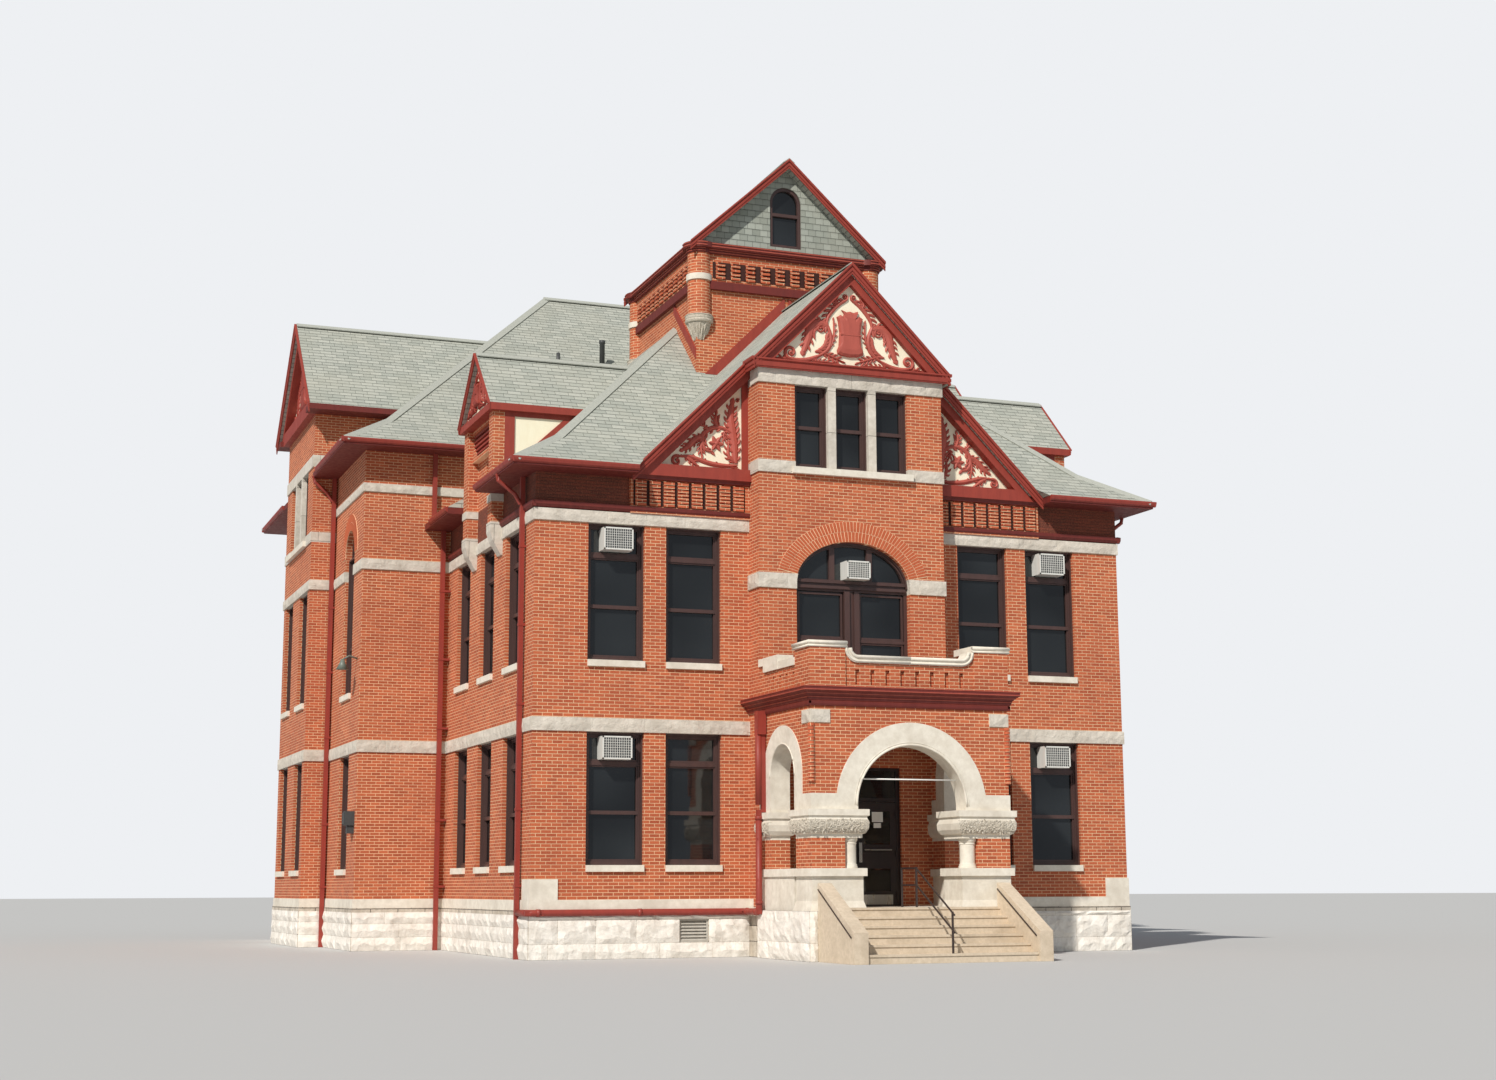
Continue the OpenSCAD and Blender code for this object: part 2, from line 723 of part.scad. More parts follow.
// Pair of sloping boards under a gable roof, in front of its panel
module rake_boards(peak, base, y0) {
  z = peak - roof_t;
  half = z - base;
  facing(y0, panel_in)
    polygon([[-half, base], [0, z], [half, base], [half - rake_h, base], [0, z - rake_h],
      [rake_h - half, base]]);
}

module gable_trim() color(red) {
  top = gable_z - roof_t;
  top_base = bay_brick_top + gable_base_h;
  side_base = side_gable_eave_z + gable_base_h;
  out = 170;
  // Front gable, upper part, with the moulding that turns round the bay
  at_wall(attic_walls[0]) rake_boards(gable_z, top_base, -frieze_out);
  intersection() {
    difference() {
      union() {
        span(-bay_x - 120, bay_x + 120, -bay_out - upper_rake_out, -out - joint, bay_brick_top,
          top_base - joint);
        span(-bay_x, bay_x, -out - past, wall_t, bay_brick_top, top_base - joint);
      }
      span(-bay_x + wall_t, bay_x - wall_t, -bay_out + wall_t, wall_t + past,
        bay_brick_top - past, top_base + past);
    }
    front_gable(roof_t, -bay_out - rake_out, wall_t + past);
  }
  both() {
    // Front gable, lower part, beside the bay
    x0 = bay_x + joint;
    x1 = top - gable_foot_z;
    facing(-out, panel_in)
      polygon([[x0, top - x0], [x1, gable_foot_z], [x1 - rake_h, gable_foot_z],
        [x0, top - x0 - rake_h]]);
    facing(-out, wall_t)
      polygon([[x0, eave_bottom + 60], [gable_half - joint, eave_bottom + 60],
        [gable_half - joint, eave_z - joint], [top - eave_z, eave_z - joint],
        [x1, gable_foot_z - joint], [x0, gable_foot_z - joint]]);
    // Side gables
    at_wall(attic_walls[1]) {
      rake_boards(side_gable_z, side_base, -out);
      span(-side_bay_w / 2, side_bay_w / 2, -out, wall_t, side_wall_top, side_gable_eave_z);
      intersection() {
        span(-side_gable_half, side_gable_half, -out, wall_t, side_gable_eave_z,
          side_base - joint);
        facing(-out - past, wall_t + past)
          gable_outline(side_gable_half, side_gable_eave_z, roof_t);
      }
    }
  }
}

module gable_roofs() color(shingle) {
  difference() {
    union() {
      front_gable(0, -rake_out, tower_y);
      intersection() {
        front_gable(0, -bay_out - upper_rake_out, past);
        span(-bay_x - 150, bay_x + 150, -2000, past, 0, gable_z);
      }
    }
    front_gable(roof_t, -2000, tower_y + past);
    pavilion_hip(0);
  }
  both()
    difference() {
      side_gable(0, 3000, side_x + rake_out);
      side_gable(roof_t, 2900, side_x + rake_out + past);
      main_hip(0);
    }
}

module eaves() color(red) {
  gap = dormer_w / 2 + joint;
  z0 = main_eave_bottom;
  both() {
    // Pavilion: front run, then the side runs before and behind the dormer
    span(gable_half, pav_eave, -overhang, wall_t, eave_bottom, eave_z);
    span(pav_x - wall_t, pav_eave, wall_t + joint, dormer_y - gap, eave_bottom, eave_z);
    span(pav_x - wall_t, pav_eave, dormer_y + gap, main_y - joint, eave_bottom, eave_z);
    // Main block
    difference() {
      span(top_band_x, main_eave, main_y - overhang, main_y + wall_t, z0, main_eave_z);
      pavilion_hip(0);
    }
    span(main_x - wall_t, main_eave, main_y + wall_t + joint, side_y0 - joint, z0, main_eave_z);
    span(main_x - wall_t, main_eave, side_y1 + joint, rear_y - wall_t - joint, z0, main_eave_z);
    // Side gables
    difference() {
      for (s = [0, 1])
        translate([0, mid_y, 0]) mirror([0, s, 0])
          span(6500, side_x + rake_out, side_bay_w / 2 - wall_t, side_gable_half,
            side_wall_top, side_gable_eave_z);
      main_hip(0);
      span(side_x - wall_t - joint, side_x + 600, side_y0, side_y1, 0, gable_z);
    }
  }
  span(-main_eave, main_eave, rear_y - wall_t, rear_y + overhang, z0, main_eave_z);
}

module pavilion_roof() color(shingle)
  difference() {
    pavilion_hip(0);
    pavilion_hip(roof_t);
    main_hip(0);
    // Room for the main block, the front gable, the dormers and the tower
    span(-main_x, main_x, main_y, rear_y, 0, main_eave_z);
    front_gable(roof_t, -2000, tower_y);
    front_gable(0, -2000, -rake_out);
    both() span(pav_x - wall_t, pav_eave + past, dormer_y0, dormer_y1, 0, gable_z);
    tower_room();
  }

module main_roof() color(shingle)
  difference() {
    main_hip(0);
    main_hip(roof_t);
    pavilion_hip(roof_t);
    tower_room();
    both() span(main_x - wall_t, main_eave + past, side_y0, side_y1, 0, gable_z);
  }

// Opening for the louvre of a dormer, in Y and Z
module louvre_outline() {
  half = dormer_w / 2 - dormer_pier_w - 20;
  z0 = dormer_cornice_z - 640;
  polygon([[360 - half, z0], [half - 360, z0], [half, z0 + 300], [half, z0 + 540],
    [-half, z0 + 540], [-half, z0 + 300]]);
}

module dormer_walls() color(brick) both() {
  inner = dormer_w / 2 - dormer_pier_w - joint;
  x1 = pav_x + dormer_out;
  for (y = [dormer_y0, dormer_y1 - dormer_pier_w]) {
    span(pav_x, x1, y, y + dormer_pier_w, corbel_top, dormer_band_z);
    span(pav_x, x1, y, y + dormer_pier_w, eave_bottom, dormer_cornice_z);
  }
  // Wall of the recess, corbelled out round the louvre
  difference() {
    union() {
      span(pav_x - wall_t, pav_x, dormer_y0 + cheek_panel_t, dormer_y1 - cheek_panel_t,
        eave_bottom, dormer_cornice_z);
      span(pav_x - past, pav_x + 150, dormer_y - inner, dormer_y + inner,
        dormer_cornice_z - 720, dormer_cornice_z);
    }
    sideways(pav_x - wall_t - past, pav_x + 200) translate([dormer_y, 0]) {
      louvre_outline();
      round_outline(230, eave_z + 180, dormer_cornice_z - 1000);
    }
  }
}

module dormer_stonework() color(stone) both() {
  out = dormer_out + stone_proud;
  half = dormer_pier_w / 2 + stone_proud;
  z = corbel_top;
  for (y = [dormer_y0, dormer_y1 - dormer_pier_w])
    translate([0, y + dormer_pier_w / 2, 0]) {
      span(pav_x, pav_x + out, -half, half, dormer_band_z, eave_bottom);
      // Corbel that narrows downwards, in front of the stone band
      difference() {
        intersection() {
          facing(-half, half)
            polygon([[pav_x, z], [pav_x + out, z], [pav_x + out, z - 200],
              [pav_x + out - 60, z - 400], [pav_x + 40, z - corbel_h], [pav_x, z - corbel_h]]);
          sideways(pav_x - past, pav_x + 400)
            polygon([[-half, z], [half, z], [half, z - 200], [half - 35, z - corbel_h],
              [35 - half, z - corbel_h], [-half, z - 200]]);
        }
        span(pav_x - past, pav_x + band_out, -400, 400, upper_head, upper_band_top);
      }
    }
}

module dormer_trim() color(red) both() {
  x1 = pav_x + dormer_out;
  back = pav_x - wall_t;
  // Cornice: a front piece and two side pieces that run back to the roof
  difference() {
    span(4500, x1 + 100, dormer_y - dormer_half, dormer_y + dormer_half,
      dormer_cornice_z, dormer_eave_z);
    span(4400, back, dormer_y0 + cheek_panel_t, dormer_y1 - cheek_panel_t,
      dormer_cornice_z - past, dormer_eave_z + past);
    pavilion_hip(0);
  }
  // Front of the gable
  sideways(x1 - 80, x1) translate([dormer_y, 0])
    gable_outline(dormer_half, dormer_eave_z, dormer_roof_t);
  // Boarded cheeks behind the piers, on the wall and on the slope of the roof
  difference() {
    for (y = [dormer_y0, dormer_y1 - cheek_panel_t]) {
      span(back, pav_x - joint, y, y + cheek_panel_t, eave_bottom, dormer_cornice_z);
      difference() {
        span(4800, back + past, y, y + cheek_panel_t, eave_z, dormer_cornice_z);
        pavilion_hip(0);
      }
    }
    facing(dormer_y0 - past, dormer_y0 + 60) cheek_outline();
    facing(dormer_y1 - 60, dormer_y1 + past) cheek_outline();
  }
  // Louvre blades
  for (z = [dormer_cornice_z - 590:105:dormer_cornice_z - 150])
    intersection() {
      span(pav_x + 60, pav_x + 130, dormer_y - 1000, dormer_y + 1000, z, z + 45);
      sideways(pav_x, pav_x + 200) translate([dormer_y, 0]) louvre_outline();
    }
}

module dormer_roofs() color(shingle) both()
  difference() {
    dormer_gable(0, 3000, pav_x + dormer_out + 100);
    dormer_gable(dormer_roof_t, 2900, pav_x + dormer_out + 200);
    pavilion_hip(0);
  }

// Children at the four corner shafts of the tower, without the part inside its walls
module at_shafts(skin)
  difference() {
    both()
      for (y = [tower_y + shaft_in, tower_back - shaft_in])
        translate([tower_x - shaft_in, y, 0]) children();
    span(-tower_x - skin, tower_x + skin, tower_y - skin, tower_back + skin, 0, tower_peak_z);
    pavilion_hip(0);
  }

// Pavilion roof behind the tower, whose ridge meets the back of the tower
module roof_behind()
  intersection() {
    pavilion_hip(0);
    span(-4000, 4000, tower_back, mid_y, attic_z, tower_peak_z);
  }

// Four walls round the tower, stepped out by out
module tower_box(out, t, z0, z1) {
  x1 = tower_x + out;
  span(-x1, x1, tower_y - out, tower_y - out + t, z0, z1);
  difference() {
    span(-x1, x1, tower_back + out - t, tower_back + out, z0, z1);
    roof_behind();
  }
  both()
    span(x1 - t, x1, tower_y - out + t + joint, tower_back + out - t - joint, z0, z1);
}

module tower_walls() color(brick) {
  pitch = 330;
  tower_box(0, tower_t, attic_z, tower_frieze_z);
  // Frieze with upright slots, then plain brick under the cornice
  difference() {
    tower_box(frieze_out, tower_t + frieze_out, tower_frieze_z + joint, tower_cornice_z);
    z0 = tower_frieze_z + 80;
    z1 = tower_cornice_z - 200;
    for (i = [-5:5]) {
      span(i * pitch - 45, i * pitch + 45, tower_y - 500, tower_y, z0, z1);
      span(i * pitch - 45, i * pitch + 45, tower_back, tower_back + 500, z0, z1);
      y = tower_y + tower_d / 2 + i * pitch;
      both() span(tower_x, tower_x + 300, y - 45, y + 45, z0, z1);
    }
  }
  // Corner shafts, below and above their stone rings
  at_shafts(joint)
    translate([0, 0, shaft_z]) cylinder(r = shaft_r, h = tower_frieze_z - shaft_z);
  at_shafts(frieze_out + joint)
    translate([0, 0, tower_ring_z]) cylinder(r = shaft_r, h = tower_cornice_z - tower_ring_z);
}

// Gable walls at the front and the back of the tower, the front one with an arched window
module tower_gable_walls() color(shingle) {
  for (w = tower_gables)
    at_wall(w)
      difference() {
        half = tower_half - tower_roof_t / tower_slope;
        facing(0, 150) polygon([[-half, tower_top_z], [half, tower_top_z],
          [0, tower_peak_z - tower_roof_t]]);
        if (w[2] == 0)
          facing(-past, 200)
            round_outline(tower_window_r, tower_window_z, tower_window_spring);
      }
}

module tower_stonework() color(stone) {
  at_shafts(joint) {
    translate([0, 0, shaft_z - 650]) cylinder(r1 = 70, r2 = shaft_r + 10, h = 470);
    translate([0, 0, shaft_z - 180]) cylinder(r = shaft_r + 40, h = 180);
  }
  at_shafts(frieze_out + joint)
    translate([0, 0, tower_frieze_z])
      cylinder(r = shaft_r + 30, h = tower_ring_z - tower_frieze_z);
}

module tower_cornice() color(red) {
  // Moulding under the frieze, between the shafts
  difference() {
    tower_box(90, 90 - joint, tower_frieze_z - 190, tower_frieze_z);
    both()
      for (y = [tower_y + shaft_in, tower_back - shaft_in])
        translate([tower_x - shaft_in, y, 0]) cylinder(r = shaft_r + 10, h = tower_peak_z);
  }
  // Cornice with rounded corners over the shafts
  difference() {
    union()
      for (lift = [[0, 100, 110], [100, 230, 200]]) {
        z = tower_cornice_z + lift[0];
        h = lift[1] - lift[0];
        x1 = tower_x + lift[2];
        span(-x1, x1, tower_y - lift[2], tower_back + lift[2], z, z + h);
        both()
          for (y = [tower_y + shaft_in, tower_back - shaft_in])
            translate([tower_x - shaft_in, y, z]) cylinder(r = shaft_r + lift[2] - 90, h = h);
      }
    span(-tower_x + tower_t, tower_x - tower_t, tower_y + tower_t, tower_back - tower_t,
      tower_cornice_z - past, tower_top_z + past);
    roof_behind();
  }
}

module tower_roof() color(shingle) {
  foot = tower_half - tower_roof_t / tower_slope;
  facing(tower_y - 230, tower_back + 230)
    polygon([[-tower_half, tower_top_z], [0, tower_peak_z], [tower_half, tower_top_z],
      [foot, tower_top_z], [0, tower_peak_z - tower_roof_t], [-foot, tower_top_z]]);
}

module porch_base() color(stone) {
  out = porch_y - base_front;
  // Rough stone mass, with the paving of the porch and of its landing on top
  span(-bay_x - out, bay_x + out, base_front, -bay_out - joint, 0, rough_top);
  x1 = porch_in_x - joint;
  x2 = plinth_x - plinth_flare - joint;
  y = pier_y + plinth_flare;
  span(-x1, x1, y + joint, -bay_out - joint, rough_top + joint, floor_z);
  span(-x2, x2, base_front, y, rough_top + joint, floor_z);
}

// Box with a foot that spreads by spread over its lowest part
module flared_box(x0, x1, y0, y1, z0, z1, spread)
  intersection() {
    facing(y0 - spread, y1 + spread)
      polygon([[x0 - spread, z0], [x1 + spread, z0], [x1, z0 + 190], [x1, z1], [x0, z1],
        [x0, z0 + 190]]);
    sideways(x0 - spread, x1 + spread)
      polygon([[y0 - spread, z0], [y1 + spread, z0], [y1, z0 + 190], [y1, z1], [y0, z1],
        [y0, z0 + 190]]);
  }

// Both sides of a moulded outline between a and b, whose profile steps out from each
function both_sides(profile, a, b) = concat([for (p = profile) [b + p[0], p[1]]],
  [for (i = [len(profile) - 1:-1:0]) [a - profile[i][0], profile[i][1]]]);

// Cushion capital over a pier
module cushion(x0, x1, y0, y1) {
  h = impost_z - capital_z - joint;
  profile = [[0, 0], [0, 70], [50, 90], [95, 170], [105, 290], [75, 370], [75, 400],
    [110, 420], [110, h]];
  intersection() {
    facing(y0 - 110, y1 + 110) translate([0, capital_z]) polygon(both_sides(profile, x0, x1));
    sideways(x0 - 110, x1 + 110) translate([0, capital_z]) polygon(both_sides(profile, y0, y1));
  }
}

module porch_stonework() color(stone) {
  cap = 60;
  y1 = -bay_out - joint;
  both() {
    // Corner plinths with their caps, then the low side walls behind them
    flared_box(plinth_x, bay_x, porch_y, pier_y, rough_top, dado_top, plinth_flare);
    span(plinth_x - cap, bay_x + cap, porch_y - cap, pier_y + cap, dado_top + joint, plinth_top);
    span(porch_in_x, bay_x + stone_proud, pier_y + cap + joint, y1, rough_top, dado_top);
    span(porch_in_x - cap, bay_x + cap, pier_y + cap + joint, y1, dado_top + joint, plinth_top);
    // Capitals
    cushion(pier_x - 360, bay_x, porch_y, pier_y);
    difference() {
      cushion(porch_in_x, bay_x, rear_pier_y, 0);
      span(0, 4000, y1, 1000, 0, deck_z);
    }
    // Short round shafts in front of the piers, inside the arch
    translate([pier_x - 150, porch_y + 200, plinth_top]) {
      h = capital_z - plinth_top - joint;
      cylinder(r = 145, h = 60);
      cylinder(r = 115, h = h);
      translate([0, 0, h - 80]) cylinder(r = 145, h = 80);
    }
    // Pale block at each top corner
    span(bay_x - porch_t, bay_x + stone_proud, porch_y - stone_proud, porch_in_y,
      block_z, block_z + block_h);
  }
}

module front_ring(r, z0) {
  translate([0, spring_z]) circle(r = r, $fn = 96);
  translate([-r, z0]) square([2 * r, spring_z - z0]);
}

module side_ring(r, z0)
  translate([side_arch_y, 0]) {
    translate([0, side_spring_z]) circle(r = r, $fn = 72);
    translate([-r, z0]) square([2 * r, side_spring_z - z0]);
  }

// Room above the capitals, on which the rings stand
module above_capitals(x0)
  span(x0, 4000, -6000, 0, impost_z, deck_z);

module porch_arches() color(stone) {
  x1 = bay_x + stone_proud;
  y0 = porch_y - stone_proud;
  front_end = side_arch_y - side_ring_r - joint;
  rear_start = side_arch_y + side_ring_r + joint;
  intersection() {
    difference() {
      facing(y0, porch_in_y) front_ring(ring_r, impost_z);
      facing(y0 - past, porch_in_y + past) front_ring(arch_r, impost_z - past);
    }
    above_capitals(-4000);
  }
  both() {
    intersection() {
      difference() {
        sideways(porch_in_x, x1) side_ring(side_ring_r, impost_z);
        sideways(porch_in_x - past, x1 + past) side_ring(side_arch_r, impost_z - past);
      }
      above_capitals(0);
    }
    // Bands beside the rings, on the capitals
    difference() {
      span(ring_r - 60, x1, y0, porch_in_y, impost_z, impost_top);
      facing(y0 - past, porch_in_y + past) front_ring(ring_r + joint, impost_z - past);
    }
    span(porch_in_x, x1, porch_in_y + joint, front_end, impost_z, impost_top);
    span(porch_in_x, x1, rear_start, -bay_out - joint, impost_z, impost_top);
  }
}

module porch_brickwork() color(brick) {
  y1 = -bay_out - joint;
  both() {
    span(pier_x, bay_x, porch_y, pier_y, plinth_top, capital_z - joint);
    span(porch_in_x, bay_x, rear_pier_y, y1, plinth_top, capital_z - joint);
    // Wall over the side arch, in two lengths that meet over its crown
    difference() {
      span(porch_in_x, bay_x, porch_in_y + joint, y1, impost_top, deck_z);
      sideways(porch_in_x - past, bay_x + past) side_ring(side_ring_r, impost_z);
      span(0, bay_x + past, side_arch_y, side_arch_y + joint, impost_top - past, deck_z + past);
    }
  }
  // Front wall over the arch, with room for the pale blocks
  difference() {
    span(-bay_x, bay_x, porch_y, porch_in_y, impost_top, deck_z);
    facing(porch_y - past, porch_in_y + past) front_ring(ring_r, impost_z);
    both() span(bay_x - porch_t, bay_x + past, porch_y - past, porch_in_y + past,
      block_z, block_z + block_h);
  }
}

module balcony_deck() color(concrete)
  span(-bay_x, bay_x, porch_y, -bay_out - joint, deck_z, deck_top);

module porch_cornice() color(red) {
  z = deck_z;
  profile = [[0, z + 30], [60, z + 60], [80, z + 130], [150, z + 200],
    [cornice_out, z + 230], [cornice_out, cornice_top]];
  // The same with a step behind its top that clears the parapet
  stepped = concat(profile, [[10, cornice_top], [10, deck_top], [0, deck_top]]);
  x1 = bay_x + joint;
  // Front length, mitred at its ends, then the side lengths back to the main wall
  intersection() {
    sideways(-bay_x - cornice_out - past, bay_x + cornice_out + past)
      polygon([for (p = stepped) [porch_y - joint - p[0], p[1]]]);
    facing(porch_y - 500, 0) polygon(both_sides(profile, -x1, x1));
  }
  both()
    facing(porch_y, -joint) polygon([for (p = stepped) [x1 + p[0], p[1]]]);
}

// Brick under the curve that rises to a corner block, in X and Z
module ogee_fill(x0)
  difference() {
    translate([x0, deck_top]) square([pedestal_rise, pedestal_z - deck_top]);
    translate([x0, pedestal_z]) circle(r = pedestal_rise);
  }

module parapet() color(brick) {
  x_in = pedestal_x - pedestal_rise;
  y0 = porch_y - 10;
  y1 = porch_y + parapet_t;
  slot_z0 = deck_top + 180;
  slot_z1 = parapet_z - 130;
  both() {
    span(pedestal_x + joint, bay_x + 10, y0, y0 + pedestal_w, deck_top, pedestal_z);
    // Side walls with slots, higher near the bay
    difference() {
      span(bay_x - parapet_t, bay_x, y0 + pedestal_w + joint, -bay_out - joint,
        deck_top, parapet_z);
      for (y = [-2420:350:-1300])
        span(bay_x - 60, bay_x + past, y, y + 90, slot_z0, slot_z1);
    }
    span(bay_x - parapet_t, bay_x, -880, -bay_out - joint, parapet_z + joint,
      parapet_z + coping_h - 10);
  }
  // Front wall with slots, curving up at its ends
  difference() {
    facing(porch_y, y1) {
      translate([-x_in, deck_top]) square([2 * x_in, parapet_z - deck_top]);
      ogee_fill(x_in);
      mirror([1, 0]) ogee_fill(x_in);
    }
    for (x = [-1120:320:1120])
      span(x - 45, x + 45, porch_y - past, porch_y + 60, slot_z0, slot_z1);
  }
}

module parapet_coping() color(stone) {
  o = 40;
  y0 = porch_y - o;
  y1 = porch_y + parapet_t + o;
  block_y = porch_y - 10 + pedestal_w;
  x_in = pedestal_x - pedestal_rise;
  side0 = bay_x - parapet_t - o;
  side1 = bay_x + o;
  top = parapet_z + coping_h;
  span(-x_in, x_in, y0, y1, parapet_z, top);
  both() {
    // Curved length up to the corner block
    facing(y0, y1)
      intersection() {
        translate([x_in, pedestal_z]) difference() {
          circle(r = pedestal_rise);
          circle(r = pedestal_rise - coping_h);
        }
        translate([x_in + joint, parapet_z]) square([pedestal_rise - joint, pedestal_rise]);
      }
    span(pedestal_x - o, bay_x + 10 + o, y0 - 10, block_y + o, pedestal_z + joint,
      pedestal_z + coping_h - 20);
    // Side copings: low run, stone block and the higher run against the bay
    span(side0, side1, block_y + joint, -1650 - joint, parapet_z, top);
    span(side0, side1 + 10, -1650, -880 - joint, parapet_z, top + coping_h - 10);
    span(side0, side1, -880, -bay_out - joint, top - 10, top + coping_h - 10);
  }
}

module steps() color(concrete) {
  y1 = base_front - joint;
  sideways(-steps_w / 2, steps_w / 2)
    polygon(concat([[y1, 0]],
      [for (i = [0:risers - 1]) each [[steps_y + i * tread, i * riser],
        [steps_y + i * tread, (i + 1) * riser]]],
      [[y1, floor_z]]));
  // Sloping walls beside the steps
  both()
    sideways(steps_w / 2 + joint, steps_w / 2 + cheek_t)
      polygon([[y1, 0], [steps_y - 60, 0], [steps_y - 60, 560], [y1, 1450]]);
}

module handrail() color(dark) {
  y0 = steps_y + 50;
  y1 = base_front - 40;
  y2 = base_front + 610;
  high = 760;
  thin = rail_r - 4;
  fall = (floor_z - riser) / (y1 - y0);
  // Posts of the middle rail, on the first tread, the top step and the landing
  for (p = [[y0, riser], [y1, floor_z], [y2, floor_z]])
    translate([0, p[0], p[1]]) cylinder(r = rail_r, h = high);
  // Two rails on the slope and two on the level, slimmer than the posts
  for (h = [420, high - rail_r]) {
    tube([0, y0 - 80, riser + h - 80 * fall], [0, y1, floor_z + h], thin);
    tube([0, y1, floor_z + h], [0, y2 + 30, floor_z + h], thin);
  }
  // Slim bars along both faces of the walls beside the steps
  both()
    for (x = [steps_w / 2 + joint - 12.3, steps_w / 2 + cheek_t + 12.3])
      tube([x, steps_y + 50, 470], [x, base_front - 30, 1330], 12);
}

// Openings of the lights of a square window, from its sill
module lights(w, h, bars) {
  x = w / 2 - frame_w;
  ends = concat([frame_w], [for (b = bars) each [h * b - frame_w / 2, h * b + frame_w / 2]],
    [h - frame_w]);
  for (i = [0:len(bars)])
    translate([-x, ends[2 * i]]) square([2 * x, ends[2 * i + 1] - ends[2 * i]]);
}

module square_frame(w, h, bars)
  difference() {
    translate([-w / 2, 0]) square([w, h]);
    lights(w, h, bars);
  }

// Frame of a round-headed window, with one bar at each of the given levels
module round_frame(r, sill, spring, levels)
  difference() {
    round_outline(r, sill, spring);
    difference() {
      round_outline(r - frame_w, sill + frame_w, spring);
      for (z = levels) translate([-r, z]) square([2 * r, frame_w]);
    }
  }

module lower_window_frames() color(dark) both() {
  for (w = concat(square_windows, round_windows))
    at_wall(w) facing(reveal, reveal + frame_d)
      translate([0, lower_sill_z])
        square_frame(window_w, lower_window_h, [meeting_at, transom_at]);
  at_wall(front_windows[0]) facing(reveal, reveal + frame_d)
    translate([0, basement_z]) square_frame(basement_w, basement_h, [0.5]);
}

// Heavy middle post, transom and upper lights of the arched window over the porch
module balcony_bars() {
  translate([-170, bay_arch_sill]) square([340, bay_impost_z - bay_arch_sill]);
  translate([-bay_arch_half, bay_impost_z]) square([2 * bay_arch_half, 250]);
  translate([-bay_arch_half, 6400]) square([2 * bay_arch_half, 60]);
  for (s = [-1, 1])
    translate([s * 430 - 60, bay_impost_z]) square([120, 1200]);
}

module upper_window_frames() color(dark) {
  both() {
    for (w = square_windows)
      at_wall(w) facing(reveal, reveal + frame_d)
        translate([0, upper_sill_z])
          square_frame(window_w, upper_window_h, [meeting_at, transom_at]);
    for (w = round_windows)
      at_wall(w) facing(reveal, reveal + frame_d)
        round_frame(window_w / 2, upper_sill_z, side_round_spring,
          [upper_sill_z + 1100, side_round_spring - 40]);
  }
  z0 = bay_arch_sill + bay_arch_sill_h;
  at_wall(attic_walls[0]) facing(reveal, reveal + frame_d)
    difference() {
      balcony_outline(0, z0);
      difference() {
        balcony_outline(frame_w, z0);
        balcony_bars();
      }
    }
}

module attic_window_frames() color(dark) {
  for (w = attic_walls)
    at_wall(w)
      for (x = attic_windows)
        translate([x, 0, 0]) facing(reveal, reveal + frame_d)
          translate([0, attic_z0])
            square_frame(attic_window_w, attic_head - joint - attic_z0, [0.5]);
  at_wall(tower_gables[0]) facing(40, 40 + frame_d)
    round_frame(tower_window_r, tower_window_z, tower_window_spring, [tower_meeting_z]);
}

module window_glass() color([0.35, 0.42, 0.45]) {
  y0 = reveal + frame_d;
  y1 = y0 + glass_t;
  half = window_w / 2;
  both() {
    for (w = concat(square_windows, round_windows))
      at_wall(w) span(-half, half, y0, y1, lower_sill_z, lower_head);
    for (w = square_windows)
      at_wall(w) span(-half, half, y0, y1, upper_sill_z, upper_head);
    for (w = round_windows)
      at_wall(w) facing(y0, y1) round_outline(half, upper_sill_z, side_round_spring);
    at_wall(front_windows[0])
      span(-basement_w / 2, basement_w / 2, y0, y1, basement_z, basement_z + basement_h);
  }
  // Light over the doors
  x1 = post_x - joint;
  span(-x1, x1, door_y + 30, door_y + 30 + glass_t, door_top_z + 80 + joint,
    floor_z + doorway_h - 60 - joint);
  at_wall(attic_walls[0]) facing(y0, y1)
    balcony_outline(0, bay_arch_sill + bay_arch_sill_h);
  for (w = attic_walls)
    at_wall(w)
      for (x = attic_windows)
        span(x - attic_window_w / 2, x + attic_window_w / 2, y0, y1, attic_z0,
          attic_head - joint);
  at_wall(tower_gables[0]) facing(40 + frame_d, 40 + frame_d + glass_t)
    round_outline(tower_window_r, tower_window_z, tower_window_spring);
}

door_y = -bay_out + 60;
door_top_z = floor_z + leaf_h + 2 * leaf_gap;
post_x = doorway_w / 2 - post_w;
// Pin of the right door, outside its outer edge
hinge_x = post_x - leaf_gap - 12;
hinge_y = door_y - knuckle_r + 4;
// Feet of the knuckles above the foot of a leaf
hinge_heights = [180, 1000, 1800];

module entrance_frame() color(dark) {
  top = floor_z + doorway_h;
  y1 = door_y + leaf_t + 60;
  x1 = post_x - joint;
  both() span(post_x, doorway_w / 2, door_y, y1, floor_z, top);
  span(-x1, x1, door_y, y1, door_top_z, door_top_z + 80);
  span(-x1, x1, door_y, y1, top - 60, top);
  // Pins that carry the knuckles of the doors, each on a bracket screwed to its post
  both()
    for (h = hinge_heights) {
      z = floor_z + leaf_gap + h - 30;
      translate([hinge_x, hinge_y, z]) cylinder(r = 6, h = 29.7);
      span(hinge_x, post_x + 40, hinge_y - 6, hinge_y + 6, z, z + 18);
      span(post_x + 5, post_x + 40, hinge_y, door_y + 1, z, z + 18);
    }
}

